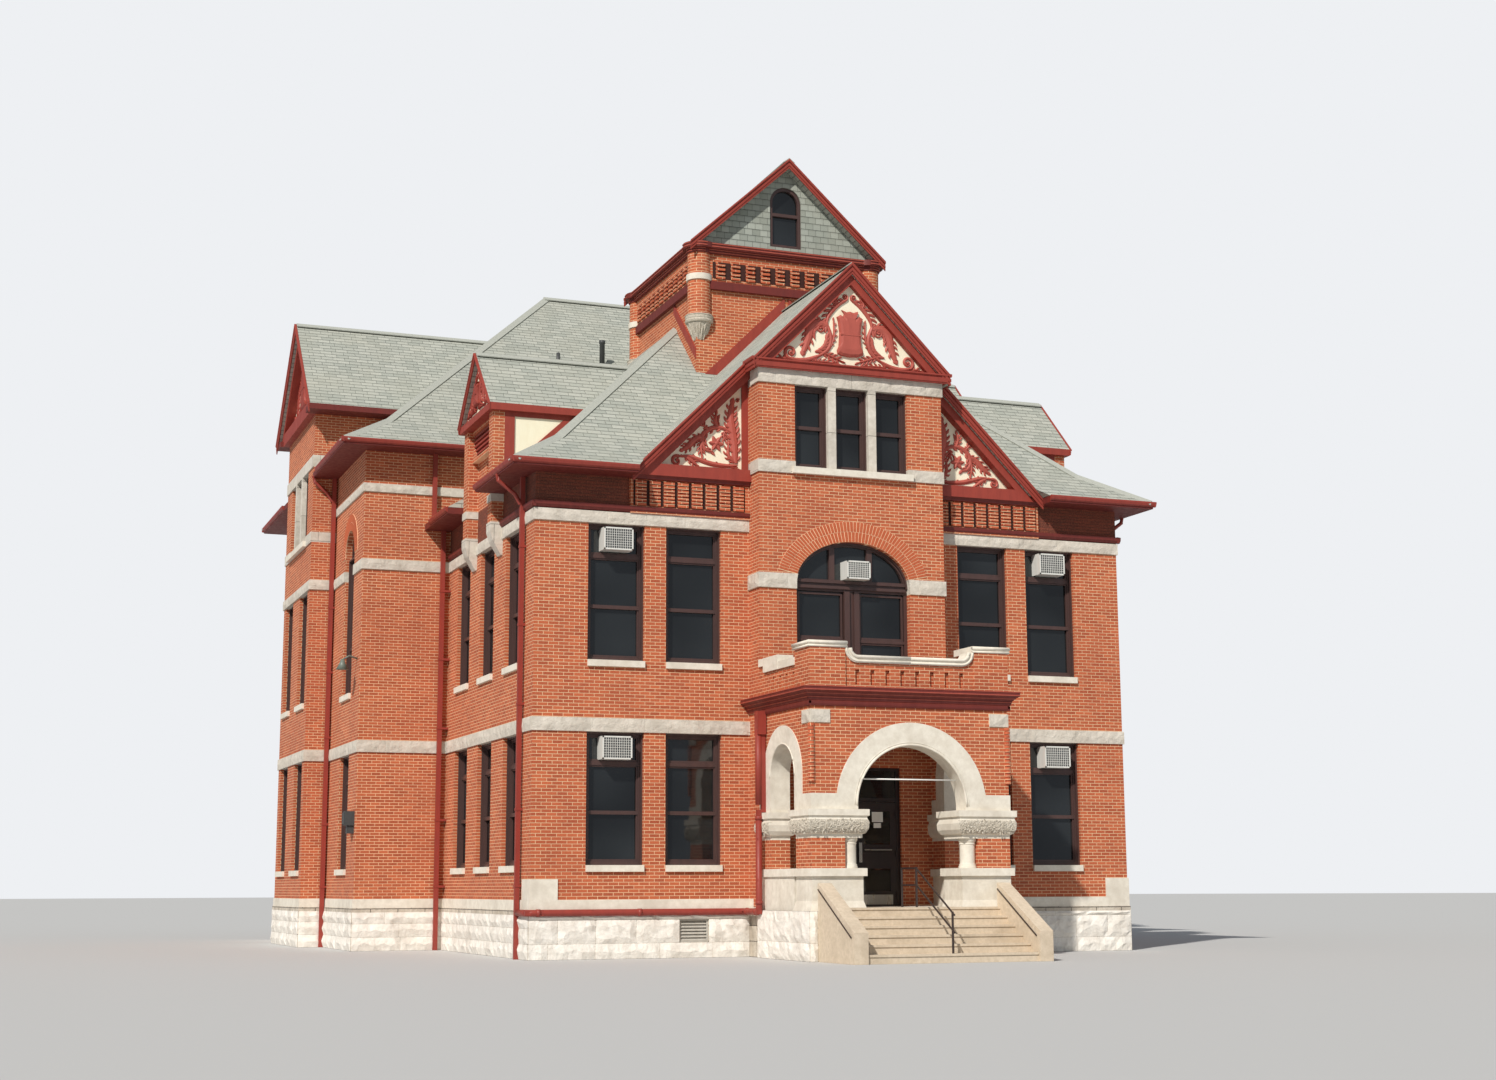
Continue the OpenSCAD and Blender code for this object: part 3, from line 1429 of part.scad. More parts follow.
// Right leaf, which turns outwards about its outer edge
module leaf() {
  z0 = floor_z + leaf_gap;
  span(leaf_gap / 2, post_x - leaf_gap, door_y, door_y + leaf_t, z0, z0 + leaf_h);
  // Pull handle and cross bar on short arms, and the hinge knuckles
  span(60, 110, door_y - 45, door_y - 15, z0 + 880, z0 + 1260);
  for (z = [z0 + 900, z0 + 1210]) span(70, 100, door_y - 20, door_y + 1, z, z + 30);
  span(150, 640, door_y - 45, door_y - 15, z0 + 1050, z0 + 1080);
  for (x = [160, 600]) span(x, x + 30, door_y - 20, door_y + 1, z0 + 1050, z0 + 1080);
  for (h = hinge_heights)
    translate([hinge_x, hinge_y, z0 + h]) cylinder(r = knuckle_r, h = 110);
}

module right_door() color(dark) leaf();

module left_door() color(dark) mirror([1, 0, 0]) leaf();

module downspouts() color(red) {
  both() {
    // Side of the pavilion, recess beside the main block, and corner before the side bay
    span(pav_x + 41, pav_x + 131, 650, 750, 0, eave_bottom);
    span(pav_x + 145, pav_x + 245, main_y - 140, main_y - 45, 0, eave_bottom);
    difference() {
      span(pav_x + 375, pav_x + 475, main_y - 140, main_y - 45, eave_z, main_eave_bottom);
      pavilion_hip(0);
    }
    span(main_x + 45, main_x + 145, side_y0 - 145, side_y0 - 45, 0, main_eave_bottom);
  }
  // Pipe of the porch roof with its funnel, stepped out round the capital
  run_z = base_top - course_h - 95;
  mirror([1, 0, 0]) {
    x0 = bay_x + stone_proud + joint;
    span(x0, x0 + 185, -980, -800, 4400, deck_z + 20);
    span(x0, x0 + 90, -940, -850, impost_z + 60, 4401);
    span(x0, bay_x + 205, -940, -850, impost_z + 10, impost_z + 61);
    span(bay_x + 115, bay_x + 205, -940, -850, run_z, impost_z + 11);
    // Run along the foot of the wall to the pipe on the side of the pavilion
    span(bay_x + 115, bay_x + 205, -851, -130, run_z, run_z + 90);
    span(bay_x + 115, pav_x + 131, -131, -41, run_z, run_z + 90);
    span(pav_x + 41, pav_x + 131, -42, 651, run_z, run_z + 90);
  }
}

module air_conditioners() color([0.92, 0.92, 0.90]) {
  y1 = reveal + frame_d;
  both()
    for (head = [lower_head, upper_head]) {
      z = head - frame_w - cooler_h - 15;
      span(outer_window_x - cooler_w / 2, outer_window_x + cooler_w / 2, -130, y1,
        z, z + cooler_h);
    }
  z = bay_impost_z + 250;
  at_wall(attic_walls[0]) span(-205, 325, -130, y1, z, z + 380);
}

foundation();
water_table();
ground_floor();
upper_floor();
attic_floor();
pavilion_walls();
centre_bay();
main_walls();
side_bays();
stone_bands();
window_sills();
gable_panels();
gable_trim();
gable_roofs();
eaves();
pavilion_roof();
main_roof();
dormer_walls();
dormer_stonework();
dormer_trim();
dormer_roofs();
tower_walls();
tower_gable_walls();
tower_stonework();
tower_cornice();
tower_roof();
porch_base();
porch_brickwork();
porch_stonework();
porch_arches();
balcony_deck();
porch_cornice();
parapet();
parapet_coping();
steps();
handrail();
lower_window_frames();
upper_window_frames();
attic_window_frames();
window_glass();
entrance_frame();
left_door();
right_door();
downspouts();
air_conditioners();
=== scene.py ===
import json
import random
from math import atan2, cos, hypot, pi, radians, sin, sqrt

import bmesh
import bpy
from mathutils import Matrix, Vector


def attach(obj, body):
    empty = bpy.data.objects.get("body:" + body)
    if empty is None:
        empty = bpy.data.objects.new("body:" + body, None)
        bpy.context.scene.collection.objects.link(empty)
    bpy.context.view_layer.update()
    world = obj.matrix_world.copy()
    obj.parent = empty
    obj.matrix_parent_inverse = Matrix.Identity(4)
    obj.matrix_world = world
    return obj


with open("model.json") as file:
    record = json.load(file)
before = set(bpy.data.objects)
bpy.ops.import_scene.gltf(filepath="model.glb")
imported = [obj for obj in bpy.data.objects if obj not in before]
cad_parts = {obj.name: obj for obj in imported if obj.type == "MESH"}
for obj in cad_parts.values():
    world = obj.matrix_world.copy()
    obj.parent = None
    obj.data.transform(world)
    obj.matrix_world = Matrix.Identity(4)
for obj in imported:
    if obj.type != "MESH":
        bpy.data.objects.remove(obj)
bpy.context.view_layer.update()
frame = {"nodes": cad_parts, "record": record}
random.seed(7)
scene = bpy.context.scene
NODES = frame["nodes"]
SLOT_OF = {s["node"]: s["material_slot"] for s in frame["record"]["subparts"]}


def span(name, axis):
    """Ends of a node along an axis, to the millimetre."""
    at = [(NODES[name].matrix_world @ v.co)[axis] for v in NODES[name].data.vertices]
    return round(min(at), 3), round(max(at), 3)


# Faces of the walls in metres, read from the solids
X, Y, Z = range(3)
PAV_X, MAIN_X = span("pavilion_walls", X)[1], span("main_walls", X)[1]
SIDE_X, BAY_X = span("side_bays", X)[1], span("centre_bay", X)[1]
MAIN_Y, REAR_Y = span("main_walls", Y)
MID_Y = round(sum(span("side_bays", Y)) / 2, 3)
BAY_Y, PORCH_Y = span("centre_bay", Y)[0], span("porch_brickwork", Y)[0]

# Eaves of the front (low) and of the main block (high), and peaks of the roofs
LOW_X, LOW_Y, LOW_Z = span("pavilion_roof", X)[1], span("pavilion_roof", Y)[0], span("pavilion_roof", Z)[0]
HIGH_X, (HIGH_Y, BACK_Y), HIGH_Z = span("main_roof", X)[1], span("main_roof", Y), span("main_roof", Z)[0]
GABLE_X, GABLE_Y = span("gable_roofs", X)[1], span("gable_roofs", Y)[0]
SIDE_PEAK = span("gable_roofs", Z)[1]
DORMER_X, DORMER_PEAK = span("dormer_roofs", X)[1], span("dormer_roofs", Z)[1]
DORMER_Y = round(sum(span("dormer_roofs", Y)) / 2, 3)
TOWER_EAVE_X, TOWER_EAVE_Y = span("tower_roof", X)[1], span("tower_roof", Y)
TOWER_EAVE_Z, TOWER_PEAK = span("tower_roof", Z)
TOWER_X, TOWER_Y = 2.2, span("tower_gable_walls", Y)
SHAFT_X, SHAFT_Y = 2.1, (3.1, 7.4)
FRONT_PEAK = 14.52

# Feet of the painted panels
FRONT_FOOT, SIDE_FOOT, LOW_FOOT, DORMER_FOOT = 12.27, 13.46, span("gable_panels", Z)[0], 11.72

# Windows: sill and head of each storey, half a width, and places as x, y and turn of the wall
LOWER, UPPER, ATTIC = (1.823, span("lower_window_frames", Z)[1]), (5.893, 8.679), (10.0105, 11.78)
HALF_W = 0.6
FRONT_AT = [(3.33, 0, 0), (4.99, 0, 0)]
SIDE_AT = [(PAV_X, 1.7, 90), (PAV_X, DORMER_Y, 90), (PAV_X, 6.1, 90)]
BAY_AT = [(SIDE_X, MID_Y - 1.15, 90), (SIDE_X, MID_Y + 1.15, 90)]
REAR_AT = [(x, REAR_Y, 180) for x in (1.4, 4.15, 6.9)]
ROUND_AT = [(MAIN_X, MAIN_Y + 1.67, 90), (MAIN_X, 2 * MID_Y - MAIN_Y - 1.67, 90)]
BASEMENT_X, BASEMENT_Z = (3.02, 3.64), (0.3, 0.76)

# Stone bands, arches as (middle, half width, rise), and where the friezes carry painted shade from the
# eaves
LOW_BAND, HIGH_BAND = (LOWER[1], 4.727), (UPPER[1], 8.923)
BALCONY_ARCH, ROUND_ARCH = (7.57, 1.29, 0.92), (9.23, 0.6, 0.6)
EAVE_SHADE_X, EAVE_SHADE_Z = 4.73, (8.93, 9.9)
BRICK, COURSE = 0.2133, 0.0677
SIDES = ((1, "right"), (-1, "left"))


# Materials
class Shade:
    """A material built node by node."""

    def __init__(self, name):
        self.m = bpy.data.materials.new(name)
        self.m.use_nodes = True
        self.t = self.m.node_tree
        self.t.nodes.clear()
        self.co = self.n("ShaderNodeTexCoord")
        self.at = self.co.outputs["Object"]

    def n(self, kind, ins=None, **props):
        node = self.t.nodes.new(kind)
        for k, v in props.items():
            setattr(node, k, v)
        for k, v in (ins or {}).items():
            s = node.inputs[k]
            if isinstance(v, bpy.types.NodeSocket):
                self.t.links.new(v, s)
            else:
                s.default_value = v
        return node

    def math(self, op, a, b=0.0):
        return self.n("ShaderNodeMath", {0: a, 1: b}, operation=op).outputs[0]

    def mix(self, fac, a, b, kind="MIX"):
        return self.n("ShaderNodeMix", {0: fac, 6: a, 7: b}, data_type="RGBA", blend_type=kind).outputs[2]

    def noise(self, scale, detail=4.0, rough=0.55, at=None):
        return self.n("ShaderNodeTexNoise", {
            "Vector": at or self.at, "Scale": scale, "Detail": detail, "Roughness": rough}).outputs[0]

    def ramp(self, fac, lo, hi, a, b):
        return self.n("ShaderNodeMapRange", {0: fac, 1: lo, 2: hi, 3: a, 4: b}).outputs[0]

    def wall(self):
        """Flat coordinates of a wall or slope: along it, then upwards."""
        p = self.n("ShaderNodeSeparateXYZ", {0: self.at})
        q = self.n("ShaderNodeSeparateXYZ", {0: self.co.outputs["Normal"]})
        side = self.math("GREATER_THAN", self.math("ABSOLUTE", q.outputs[0]),
                         self.math("ABSOLUTE", q.outputs[1]))
        u = self.math("ADD", self.math("MULTIPLY", p.outputs[1], side),
                      self.math("MULTIPLY", p.outputs[0], self.math("SUBTRACT", 1.0, side)))
        return self.n("ShaderNodeCombineXYZ", {0: u, 1: p.outputs[2], 2: 0.0}).outputs[0]

    def bricks(self, at, a, b, mortar, width, row, joint, offset=0.5):
        node = self.n("ShaderNodeTexBrick", {
            "Vector": at, "Color1": a, "Color2": b, "Mortar": mortar,
            "Scale": 1.0, "Mortar Size": joint, "Mortar Smooth": 0.1, "Bias": 0.0,
            "Brick Width": width, "Row Height": row})
        node.offset = offset
        return node

    def done(self, color, rough=0.8, height=None, bump=0.004, strength=1.0, **more):
        ins = {"Base Color": color, "Roughness": rough}
        ins.update({k.replace("_", " "): v for k, v in more.items()})
        if height is not None:
            ins["Normal"] = self.n("ShaderNodeBump", {
                "Height": height, "Distance": bump, "Strength": strength}).outputs[0]
        b = self.n("ShaderNodeBsdfPrincipled", ins)
        self.t.links.new(b.outputs[0], self.n("ShaderNodeOutputMaterial").inputs[0])
        return self.m


def lin(r, g, b):
    """sRGB from 0 to 255 as linear, opaque colour."""
    return (*(c / 12.92 if c <= 0.04045 else ((c + 0.055) / 1.055) ** 2.4
              for c in (r / 255, g / 255, b / 255)), 1)


def brick_shade(name, a=(198, 102, 62), b=(166, 78, 46), mortar=(244, 206, 164), frieze=False):
    s = Shade(name)
    at = s.wall()
    t = s.bricks(at, lin(*a), lin(*b), lin(*mortar), BRICK, COURSE, 0.0056)
    c = t.outputs[0]
    # With frieze set, bricks under the eaves beyond the gable and on the sides turn dark: darker brick,
    # with the shade of the eaves painted in
    if frieze:
        dark = s.bricks(at, lin(112, 52, 36), lin(88, 42, 30), lin(70, 42, 32), BRICK, COURSE, 0.0042)
        p = s.n("ShaderNodeSeparateXYZ", {0: s.at})
        wide = s.math("GREATER_THAN", s.math("ADD", s.math("ABSOLUTE", p.outputs[0]),
                      s.math("MULTIPLY", p.outputs[1], 10.0)), EAVE_SHADE_X)
        high = s.math("MULTIPLY", s.math("GREATER_THAN", p.outputs[2], EAVE_SHADE_Z[0]),
                      s.math("LESS_THAN", p.outputs[2], EAVE_SHADE_Z[1]))
        c = s.mix(s.math("MULTIPLY", wide, high), c, dark.outputs[0])
    c = s.mix(s.ramp(s.noise(0.9, 5), 0.35, 0.75, 0.0, 0.32), c, lin(150, 66, 44))
    c = s.mix(s.ramp(s.noise(38, 3), 0.45, 0.8, 0.0, 0.3), c, lin(214, 140, 100))
    h = s.math("SUBTRACT", s.math("MULTIPLY", s.noise(60, 3), 0.35), t.outputs[1])
    return s.done(c, 0.86, h, 0.006)


def stone_shade(name, a=(232, 224, 208), b=(206, 196, 178), rough=0.5, width=0.0, row=0.31, joint=0.006,
                scale=7.0, stain=(176, 164, 146), depth=0.03):
    s = Shade(name)
    n = s.noise(scale, 6, 0.62)
    c = s.mix(s.ramp(n, 0.3, 0.7, 0.0, 1.0), lin(*a), lin(*b))
    c = s.mix(s.ramp(s.noise(1.3, 5), 0.5, 0.75, 0.0, 0.55), c, lin(*stain))
    h = s.math("MULTIPLY", n, rough)
    if width:
        t = s.bricks(s.wall(), (1, 1, 1, 1), (0.8, 0.8, 0.8, 1), (0, 0, 0, 1), width, row, joint)
        c = s.mix(1.0, c, s.mix(0.75, (1, 1, 1, 1), t.outputs[0]), "MULTIPLY")
        h = s.math("SUBTRACT", h, s.math("MULTIPLY", t.outputs[1], 0.5))
    return s.done(c, 0.88, h, depth)


def shingle_shade(name, a=(184, 186, 175), b=(162, 166, 156), row=0.1, width=0.3):
    s = Shade(name)
    at = s.wall()
    t = s.bricks(at, lin(*a), lin(*b), lin(84, 88, 82), width, row, 0.0035, 0.37)
    p = s.n("ShaderNodeSeparateXYZ", {0: at})
    step = s.math("FRACT", s.math("DIVIDE", p.outputs[1], row))
    # Darker towards the top of each course, under the butts of the row above: painted shade
    c = s.mix(s.ramp(step, 0.72, 1.0, 0.0, 0.42), t.outputs[0], lin(70, 74, 70))
    c = s.mix(s.ramp(s.noise(1.1, 5), 0.4, 0.75, 0.0, 0.35), c, lin(176, 174, 158))
    c = s.mix(s.ramp(s.noise(90, 2), 0.5, 0.8, 0.0, 0.5), c, lin(96, 102, 98))
    h = s.math("SUBTRACT", s.math("MULTIPLY", step, -0.8), t.outputs[1])
    return s.done(c, 0.9, h, 0.012)


def paint_shade(name, rgb, wear, rough=0.5, scale=9.0, metallic=0.0, grain=True):
    s = Shade(name)
    stretch = s.n("ShaderNodeMapping", {0: s.at, 3: (1.0, 1.0, 0.25)}).outputs[0]
    n = s.noise(scale, 5, 0.6, stretch)
    c = s.mix(s.ramp(n, 0.35, 0.75, 0.0, 0.7), lin(*rgb), lin(*wear))
    return s.done(c, s.ramp(n, 0.3, 0.7, rough - 0.08, rough + 0.12), s.noise(40, 3) if grain else None,
                  0.0015, Metallic=metallic)


def glass_shade():
    s = Shade("window_glass")
    # Lighter and darker patches in the colour of the glass: painted reflection; the same patches vary the
    # roughness
    reflection_and_gloss_patches = s.noise(0.6, 1, 0.4)
    c = s.mix(s.ramp(reflection_and_gloss_patches, 0.35, 0.7, 0.0, 1.0), lin(16, 18, 19), lin(40, 44, 46))
    return s.done(c, s.ramp(reflection_and_gloss_patches, 0.3, 0.7, 0.03, 0.08), s.noise(2.2, 2), 0.004, 0.4,
                  Specular_IOR_Level=0.7, Coat_Weight=0.2)


def board_shade():
    s = Shade("floor_boards")
    t = s.bricks(s.wall(), lin(150, 112, 74), lin(122, 88, 56), lin(40, 28, 20), 2.4, 0.09, 0.002)
    grain = s.noise(3.0, 8, 0.6, s.n("ShaderNodeMapping", {0: s.at, 3: (0.6, 9.0, 6.0)}).outputs[0])
    c = s.mix(s.ramp(grain, 0.4, 0.7, 0.0, 0.6), t.outputs[0], lin(92, 64, 40))
    return s.done(c, 0.55, s.math("SUBTRACT", 0.0, t.outputs[1]), 0.003)


brick = brick_shade("brick")
# Brick for the pavilion walls, with painted shade from the eaves on the friezes
brick_with_eave_shade = brick_shade("brick_with_painted_eave_shade", frieze=True)
arch_brick = brick_shade("brick_of_arches", (200, 100, 62), (170, 74, 46))
stone = stone_shade("band_stone", (226, 219, 206), (200, 192, 178), width=1.15, row=0.9, joint=0.004,
                    scale=9.0)
smooth_stone = stone_shade("smooth_stone", (234, 228, 214), (214, 206, 190), 0.25, stain=(190, 180, 164),
                           depth=0.01)
# A darker, finely speckled copy of the smooth stone for the carvings: random tone, with the shade of their
# small hollows painted in
carved_stone_with_painted_shade = stone_shade("carved_stone_with_painted_shade", (222, 214, 199), (150, 141, 124), 0.8, scale=38.0,
                           stain=(176, 166, 150), depth=0.012)
rough_stone = stone_shade("quarry_faced_stone", (226, 216, 200), (186, 174, 156), 0.9, 0.62, 0.31, 0.008,
                          5.0, (150, 138, 122), 0.06)
rock = stone_shade("rock_faced_stone", (246, 242, 233), (220, 213, 202), 0.9, scale=5.0,
                   stain=(190, 181, 168), depth=0.05)
band_rock = stone_shade("rock_faced_band_stone", (220, 212, 199), (194, 186, 172), 0.9, scale=5.0,
                        stain=(170, 160, 146), depth=0.05)
concrete = stone_shade("tan_concrete", (216, 200, 178), (196, 180, 156), 0.2, scale=14.0,
                       stain=(172, 156, 134), depth=0.006)
shingle = shingle_shade("roof_shingles")
wall_shingle = shingle_shade("wall_shingles", (164, 170, 160), (136, 142, 132), 0.15, 0.19)
cap_shingle = paint_shade("cap_shingles", (176, 178, 168), (150, 154, 146), 0.85, 24.0)
ring_brick = paint_shade("brick_of_the_rings", (192, 98, 60), (164, 76, 46), 0.86, 30.0)
mortar = paint_shade("mortar", (246, 210, 172), (232, 190, 150), 0.9, 30.0)
# Dark brick colour for sheets that stand in for the shade in recesses: painted shade
painted_recess_shade = paint_shade("shadowed_brick", (62, 30, 22), (48, 24, 18), 0.9)
red = paint_shade("red_paint", (154, 60, 46), (130, 48, 38), 0.6)
# A lighter copy of the trim red for the front scrolls: painted sunlight
sunlit_scroll_red = paint_shade("sunlit_red_paint_of_scrolls", (180, 88, 74), (156, 72, 61), 0.6)
# A darker copy of the trim red for the cornices, the eaves and the strips under them: painted shade
red_shadow = paint_shade("red_paint_with_painted_shade", (112, 38, 30), (92, 30, 26), 0.6)
red_light = paint_shade("sunlit_red_paint", (176, 84, 66), (154, 66, 52), 0.6)
red_metal = paint_shade("red_metal_paint", (150, 58, 46), (126, 46, 38), 0.5)
cream = paint_shade("cream_paint", (246, 240, 214), (236, 227, 198), 0.5)
dark = paint_shade("dark_frame_paint", (80, 58, 54), (62, 45, 43), 0.4)
# A darker copy of the frame paint for the doors and their frame: dark paint, with the shade of the porch
# painted in
shaded_door_paint = paint_shade("dark_door_paint_with_painted_shade", (44, 30, 28), (34, 24, 22), 0.4)
black = paint_shade("dark_metal_paint", (58, 46, 42), (44, 36, 34), 0.35)
white = paint_shade("white_enamel", (224, 224, 218), (206, 206, 198), 0.4)
grey = paint_shade("grey_metal", (70, 72, 72), (54, 56, 56), 0.5)
steel = paint_shade("brushed_metal", (176, 176, 172), (150, 150, 148), 0.3, metallic=0.9, grain=False)
louvre = paint_shade("louvre_paint", (186, 182, 172), (160, 154, 142), 0.6)
lamp_green = paint_shade("lamp_shade_paint", (112, 122, 112), (92, 102, 94), 0.45)
paper = paint_shade("bare_paper", (240, 238, 230), (226, 224, 214), 0.8)
rod_white = paint_shade("white_rod", (244, 244, 240), (232, 232, 228), 0.3)
boards = board_shade()
glass = glass_shade()
FINISH = {"brick": brick, "stone": stone, "concrete": concrete, "timber": boards, "red_trim": red,
          "cream_panels": cream, "shingles": shingle, "dark_frames": dark, "glass": glass,
          "dark_metal": black, "red_metal": red_metal, "white_metal": white}
OWN = {"pavilion_walls": brick_with_eave_shade, "tower_gable_walls": wall_shingle,
       **dict.fromkeys(("foundation", "porch_base"), rough_stone),
       **dict.fromkeys(("porch_stonework", "porch_arches", "water_table", "window_sills", "parapet_coping",
                        "tower_stonework", "balcony_deck"), smooth_stone),
       # Cornices and eaves in the darker red, doors and their frame in the darker door paint: painted shade
       **dict.fromkeys(("porch_cornice", "tower_cornice", "eaves"), red_shadow),
       **dict.fromkeys(("left_door", "right_door", "entrance_frame"), shaded_door_paint)}
for name, node in NODES.items():
    node.data.materials.clear()
    node.data.materials.append(OWN.get(name) or FINISH[SLOT_OF[name]])


# Pieces built in mesh code
def placed(name, data):
    """A new object in the scene."""
    o = bpy.data.objects.new(name, data)
    scene.collection.objects.link(o)
    return o


def wall_at(w, foot=0.0):
    """Places a point given along a wall, in front of it (negative) and upwards from its foot."""
    c, s = cos(radians(w[2])), sin(radians(w[2]))
    return lambda p: (w[0] + p[0] * c - p[1] * s, w[1] + p[0] * s + p[1] * c, p[2] + foot)


class Piece:
    """Gathers the solids of one piece, also mirrored to the left side if both is set."""

    def __init__(self, name, shade, slot, both=False, at=None, smooth=False):
        self.name, self.shade, self.slot, self.both, self.smooth = name, shade, slot, both, smooth
        self.at = at or (lambda p: p)
        self.v, self.f = [], []

    def add(self, verts, faces):
        pts = [self.at(p) for p in verts]
        for s in ((1, -1) if self.both else (1,)):
            k = len(self.v)
            self.v += [(s * p[0], p[1], p[2]) for p in pts]
            self.f += [[k + i for i in f] for f in faces]

    def box(self, x0, x1, y0, y1, z0, z1):
        self.add([(x, y, z) for z in (z0, z1) for y in (y0, y1) for x in (x0, x1)],
                 [(0, 1, 3, 2), (4, 6, 7, 5), (0, 4, 5, 1), (2, 3, 7, 6), (0, 2, 6, 4), (1, 5, 7, 3)])

    def loft(self, loops):
        """Joins loops with the same number of points and closes both ends."""
        n = len(loops[0])
        faces = [(i * n + j, i * n + (j + 1) % n, (i + 1) * n + (j + 1) % n, (i + 1) * n + j)
                 for i in range(len(loops) - 1) for j in range(n)]
        faces += [tuple(range(n)), tuple((len(loops) - 1) * n + j for j in range(n))]
        self.add([p for q in loops for p in q], faces)

    def bars(self, y0, y1, *rects):
        """Boxes from y0 to y1 over rectangles in X and Z."""
        for x0, x1, z0, z1 in rects:
            self.box(x0, x1, y0, y1, z0, z1)

    def prism(self, outline, y0, y1):
        """Outline in X and Z, from y0 to y1."""
        self.loft([[(x, y, z) for x, z in outline] for y in (y0, y1)])

    def beam(self, a, b, out, profile):
        """Profile of (step along out, step up) swept from a to b."""
        self.loft([[(p[0] + out[0] * s, p[1] + out[1] * s, p[2] + u) for s, u in profile] for p in (a, b)])

    def tube(self, pts, r, n=12):
        pts = [Vector(p) for p in pts]
        loops = []
        for i, p in enumerate(pts):
            d = ((pts[min(i + 1, len(pts) - 1)] - p).normalized() + (p - pts[max(i - 1, 0)]).normalized())
            d.normalize()
            side = d.cross(Vector((0, 0, 1)) if abs(d.z) < 0.9 else Vector((0, 1, 0))).normalized()
            up = side.cross(d).normalized()
            loops.append([tuple(p + (side * cos(t) + up * sin(t)) * r)
                          for t in (2 * pi * k / n for k in range(n))])
        self.loft(loops)

    def lathe(self, x, y, profile, n=24):
        """Profile of (radius, height) turned about an upright axis."""
        self.loft([[(x + r * cos(2 * pi * k / n), y + r * sin(2 * pi * k / n), z)
                    for k in range(n)] for r, z in profile])

    def done(self, body="building"):
        mesh = bpy.data.meshes.new(self.name)
        mesh.from_pydata(self.v, [], self.f)
        b = bmesh.new()
        b.from_mesh(mesh)
        bmesh.ops.recalc_face_normals(b, faces=b.faces)
        b.to_mesh(mesh)
        b.free()
        if self.smooth:
            mesh.shade_smooth()
        mesh.materials.append(self.shade)
        o = placed(self.name, mesh)
        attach(o, body)


# Roof edges and gutters
RAKE = 0.235
CROWN = [(-0.004, 0.0), (-0.004, 0.02), (0.05, 0.02), (0.055, -0.02), (0.044, -0.05), (0.012, -0.064),
         (0.012, -0.086), (0.034, -0.09), (0.03, -0.158), (0.012, -0.166), (0.012, -0.184), (0.026, -0.188),
         (0.02, -RAKE), (-0.004, -RAKE)]
PLINTH = [(-0.004, 0), (0.04, 0), (0.045, -0.03), (0.012, -0.05), (0.012, -0.07), (0.03, -0.075),
          (0.026, -0.17), (0.01, -0.18), (0.01, -0.2), (-0.004, -0.2)]
GUTTER = [(-0.002, 0.005), (0.055, 0.012), (0.06, -0.02), (0.045, -0.075), (0.02, -0.1), (-0.002, -0.105)]


def slopes(p, peak, x0, x1, y, drop=RAKE):
    """Crown moulding down both 45 degree slopes of a gable end, in the wall's own frame."""
    profile = [(s, u * drop / RAKE) for s, u in CROWN]
    for s in (1, -1):
        p.beam((s * x0, y, peak - x0), (s * x1, y, peak - x1), (0, -1), profile)


p = Piece("front_gable_mouldings", red, "red_trim")
slopes(p, FRONT_PEAK, 0.0, 2.27, GABLE_Y)
slopes(p, FRONT_PEAK, 2.25, 4.74, -0.25)
for s in (1, -1):
    p.beam((s * 2.262, -0.765, FRONT_FOOT - 0.012), (s * 2.262, -0.2, FRONT_FOOT - 0.012), (s, 0), CROWN)
p.beam((-2.23, -0.719, FRONT_FOOT - 0.006), (2.23, -0.719, FRONT_FOOT - 0.006), (0, -1), PLINTH)
p.done()
for s, tag in SIDES:
    p = Piece(f"{tag}_gable_mouldings", red, "red_trim", at=wall_at((s * GABLE_X, MID_Y, 90 * s)))
    slopes(p, SIDE_PEAK, 0.0, 2.7, 0)
    p.done()
    p = Piece(f"{tag}_dormer_mouldings", red, "red_trim", at=wall_at((s * DORMER_X, DORMER_Y, 90 * s)))
    slopes(p, DORMER_PEAK, 0.0, 1.42, 0, 0.13)
    p.done()
p = Piece("tower_gable_mouldings", red, "red_trim")
run = TOWER_EAVE_X + 0.02
fall = run * (TOWER_PEAK - TOWER_EAVE_Z) / TOWER_EAVE_X
thin = [(a, b * 0.9) for a, b in CROWN]
for y, out in zip(TOWER_EAVE_Y, (-1, 1)):
    for s in (1, -1):
        p.beam((0, y, TOWER_PEAK), (s * run, y, TOWER_PEAK - fall), (0, out), thin)
p.done()
p = Piece("gutters", red_metal, "red_metal", both=True)
for (x0, y0), (x1, y1), z, out in (
        ((4.72, LOW_Y), (LOW_X + 0.055, LOW_Y), LOW_Z, (0, -1)),
        ((LOW_X, LOW_Y - 0.06), (LOW_X, 2.6), LOW_Z, (1, 0)),
        ((LOW_X, 5.21), (LOW_X, HIGH_Y), LOW_Z, (1, 0)),
        ((6.3, HIGH_Y), (HIGH_X + 0.06, HIGH_Y), HIGH_Z, (0, -1)),
        ((HIGH_X, HIGH_Y - 0.06), (HIGH_X, MID_Y - 2.69), HIGH_Z, (1, 0)),
        ((HIGH_X, MID_Y + 2.69), (HIGH_X, BACK_Y + 0.06), HIGH_Z, (1, 0)),
        ((0, BACK_Y), (HIGH_X + 0.06, BACK_Y), HIGH_Z, (0, 1))):
    p.beam((x0, y0, z), (x1, y1, z), out, GUTTER)
p.done()

# Boards where the tower and the centre bay meet the roofs
p = Piece("flashings", red, "red_trim", both=True)
p.beam((0.05, TOWER_Y[0], 14.62), (TOWER_X, TOWER_Y[0], 12.47), (0, -1),
       [(0, -0.15), (0.03, -0.15), (0.03, 0.14), (0, 0.14)])
p.beam((TOWER_X, 4.52, 14.68), (TOWER_X, 3.02, 13.26), (1, 0),
       [(0, -0.1), (0.03, -0.1), (0.03, 0.14), (0, 0.14)])
p.done()

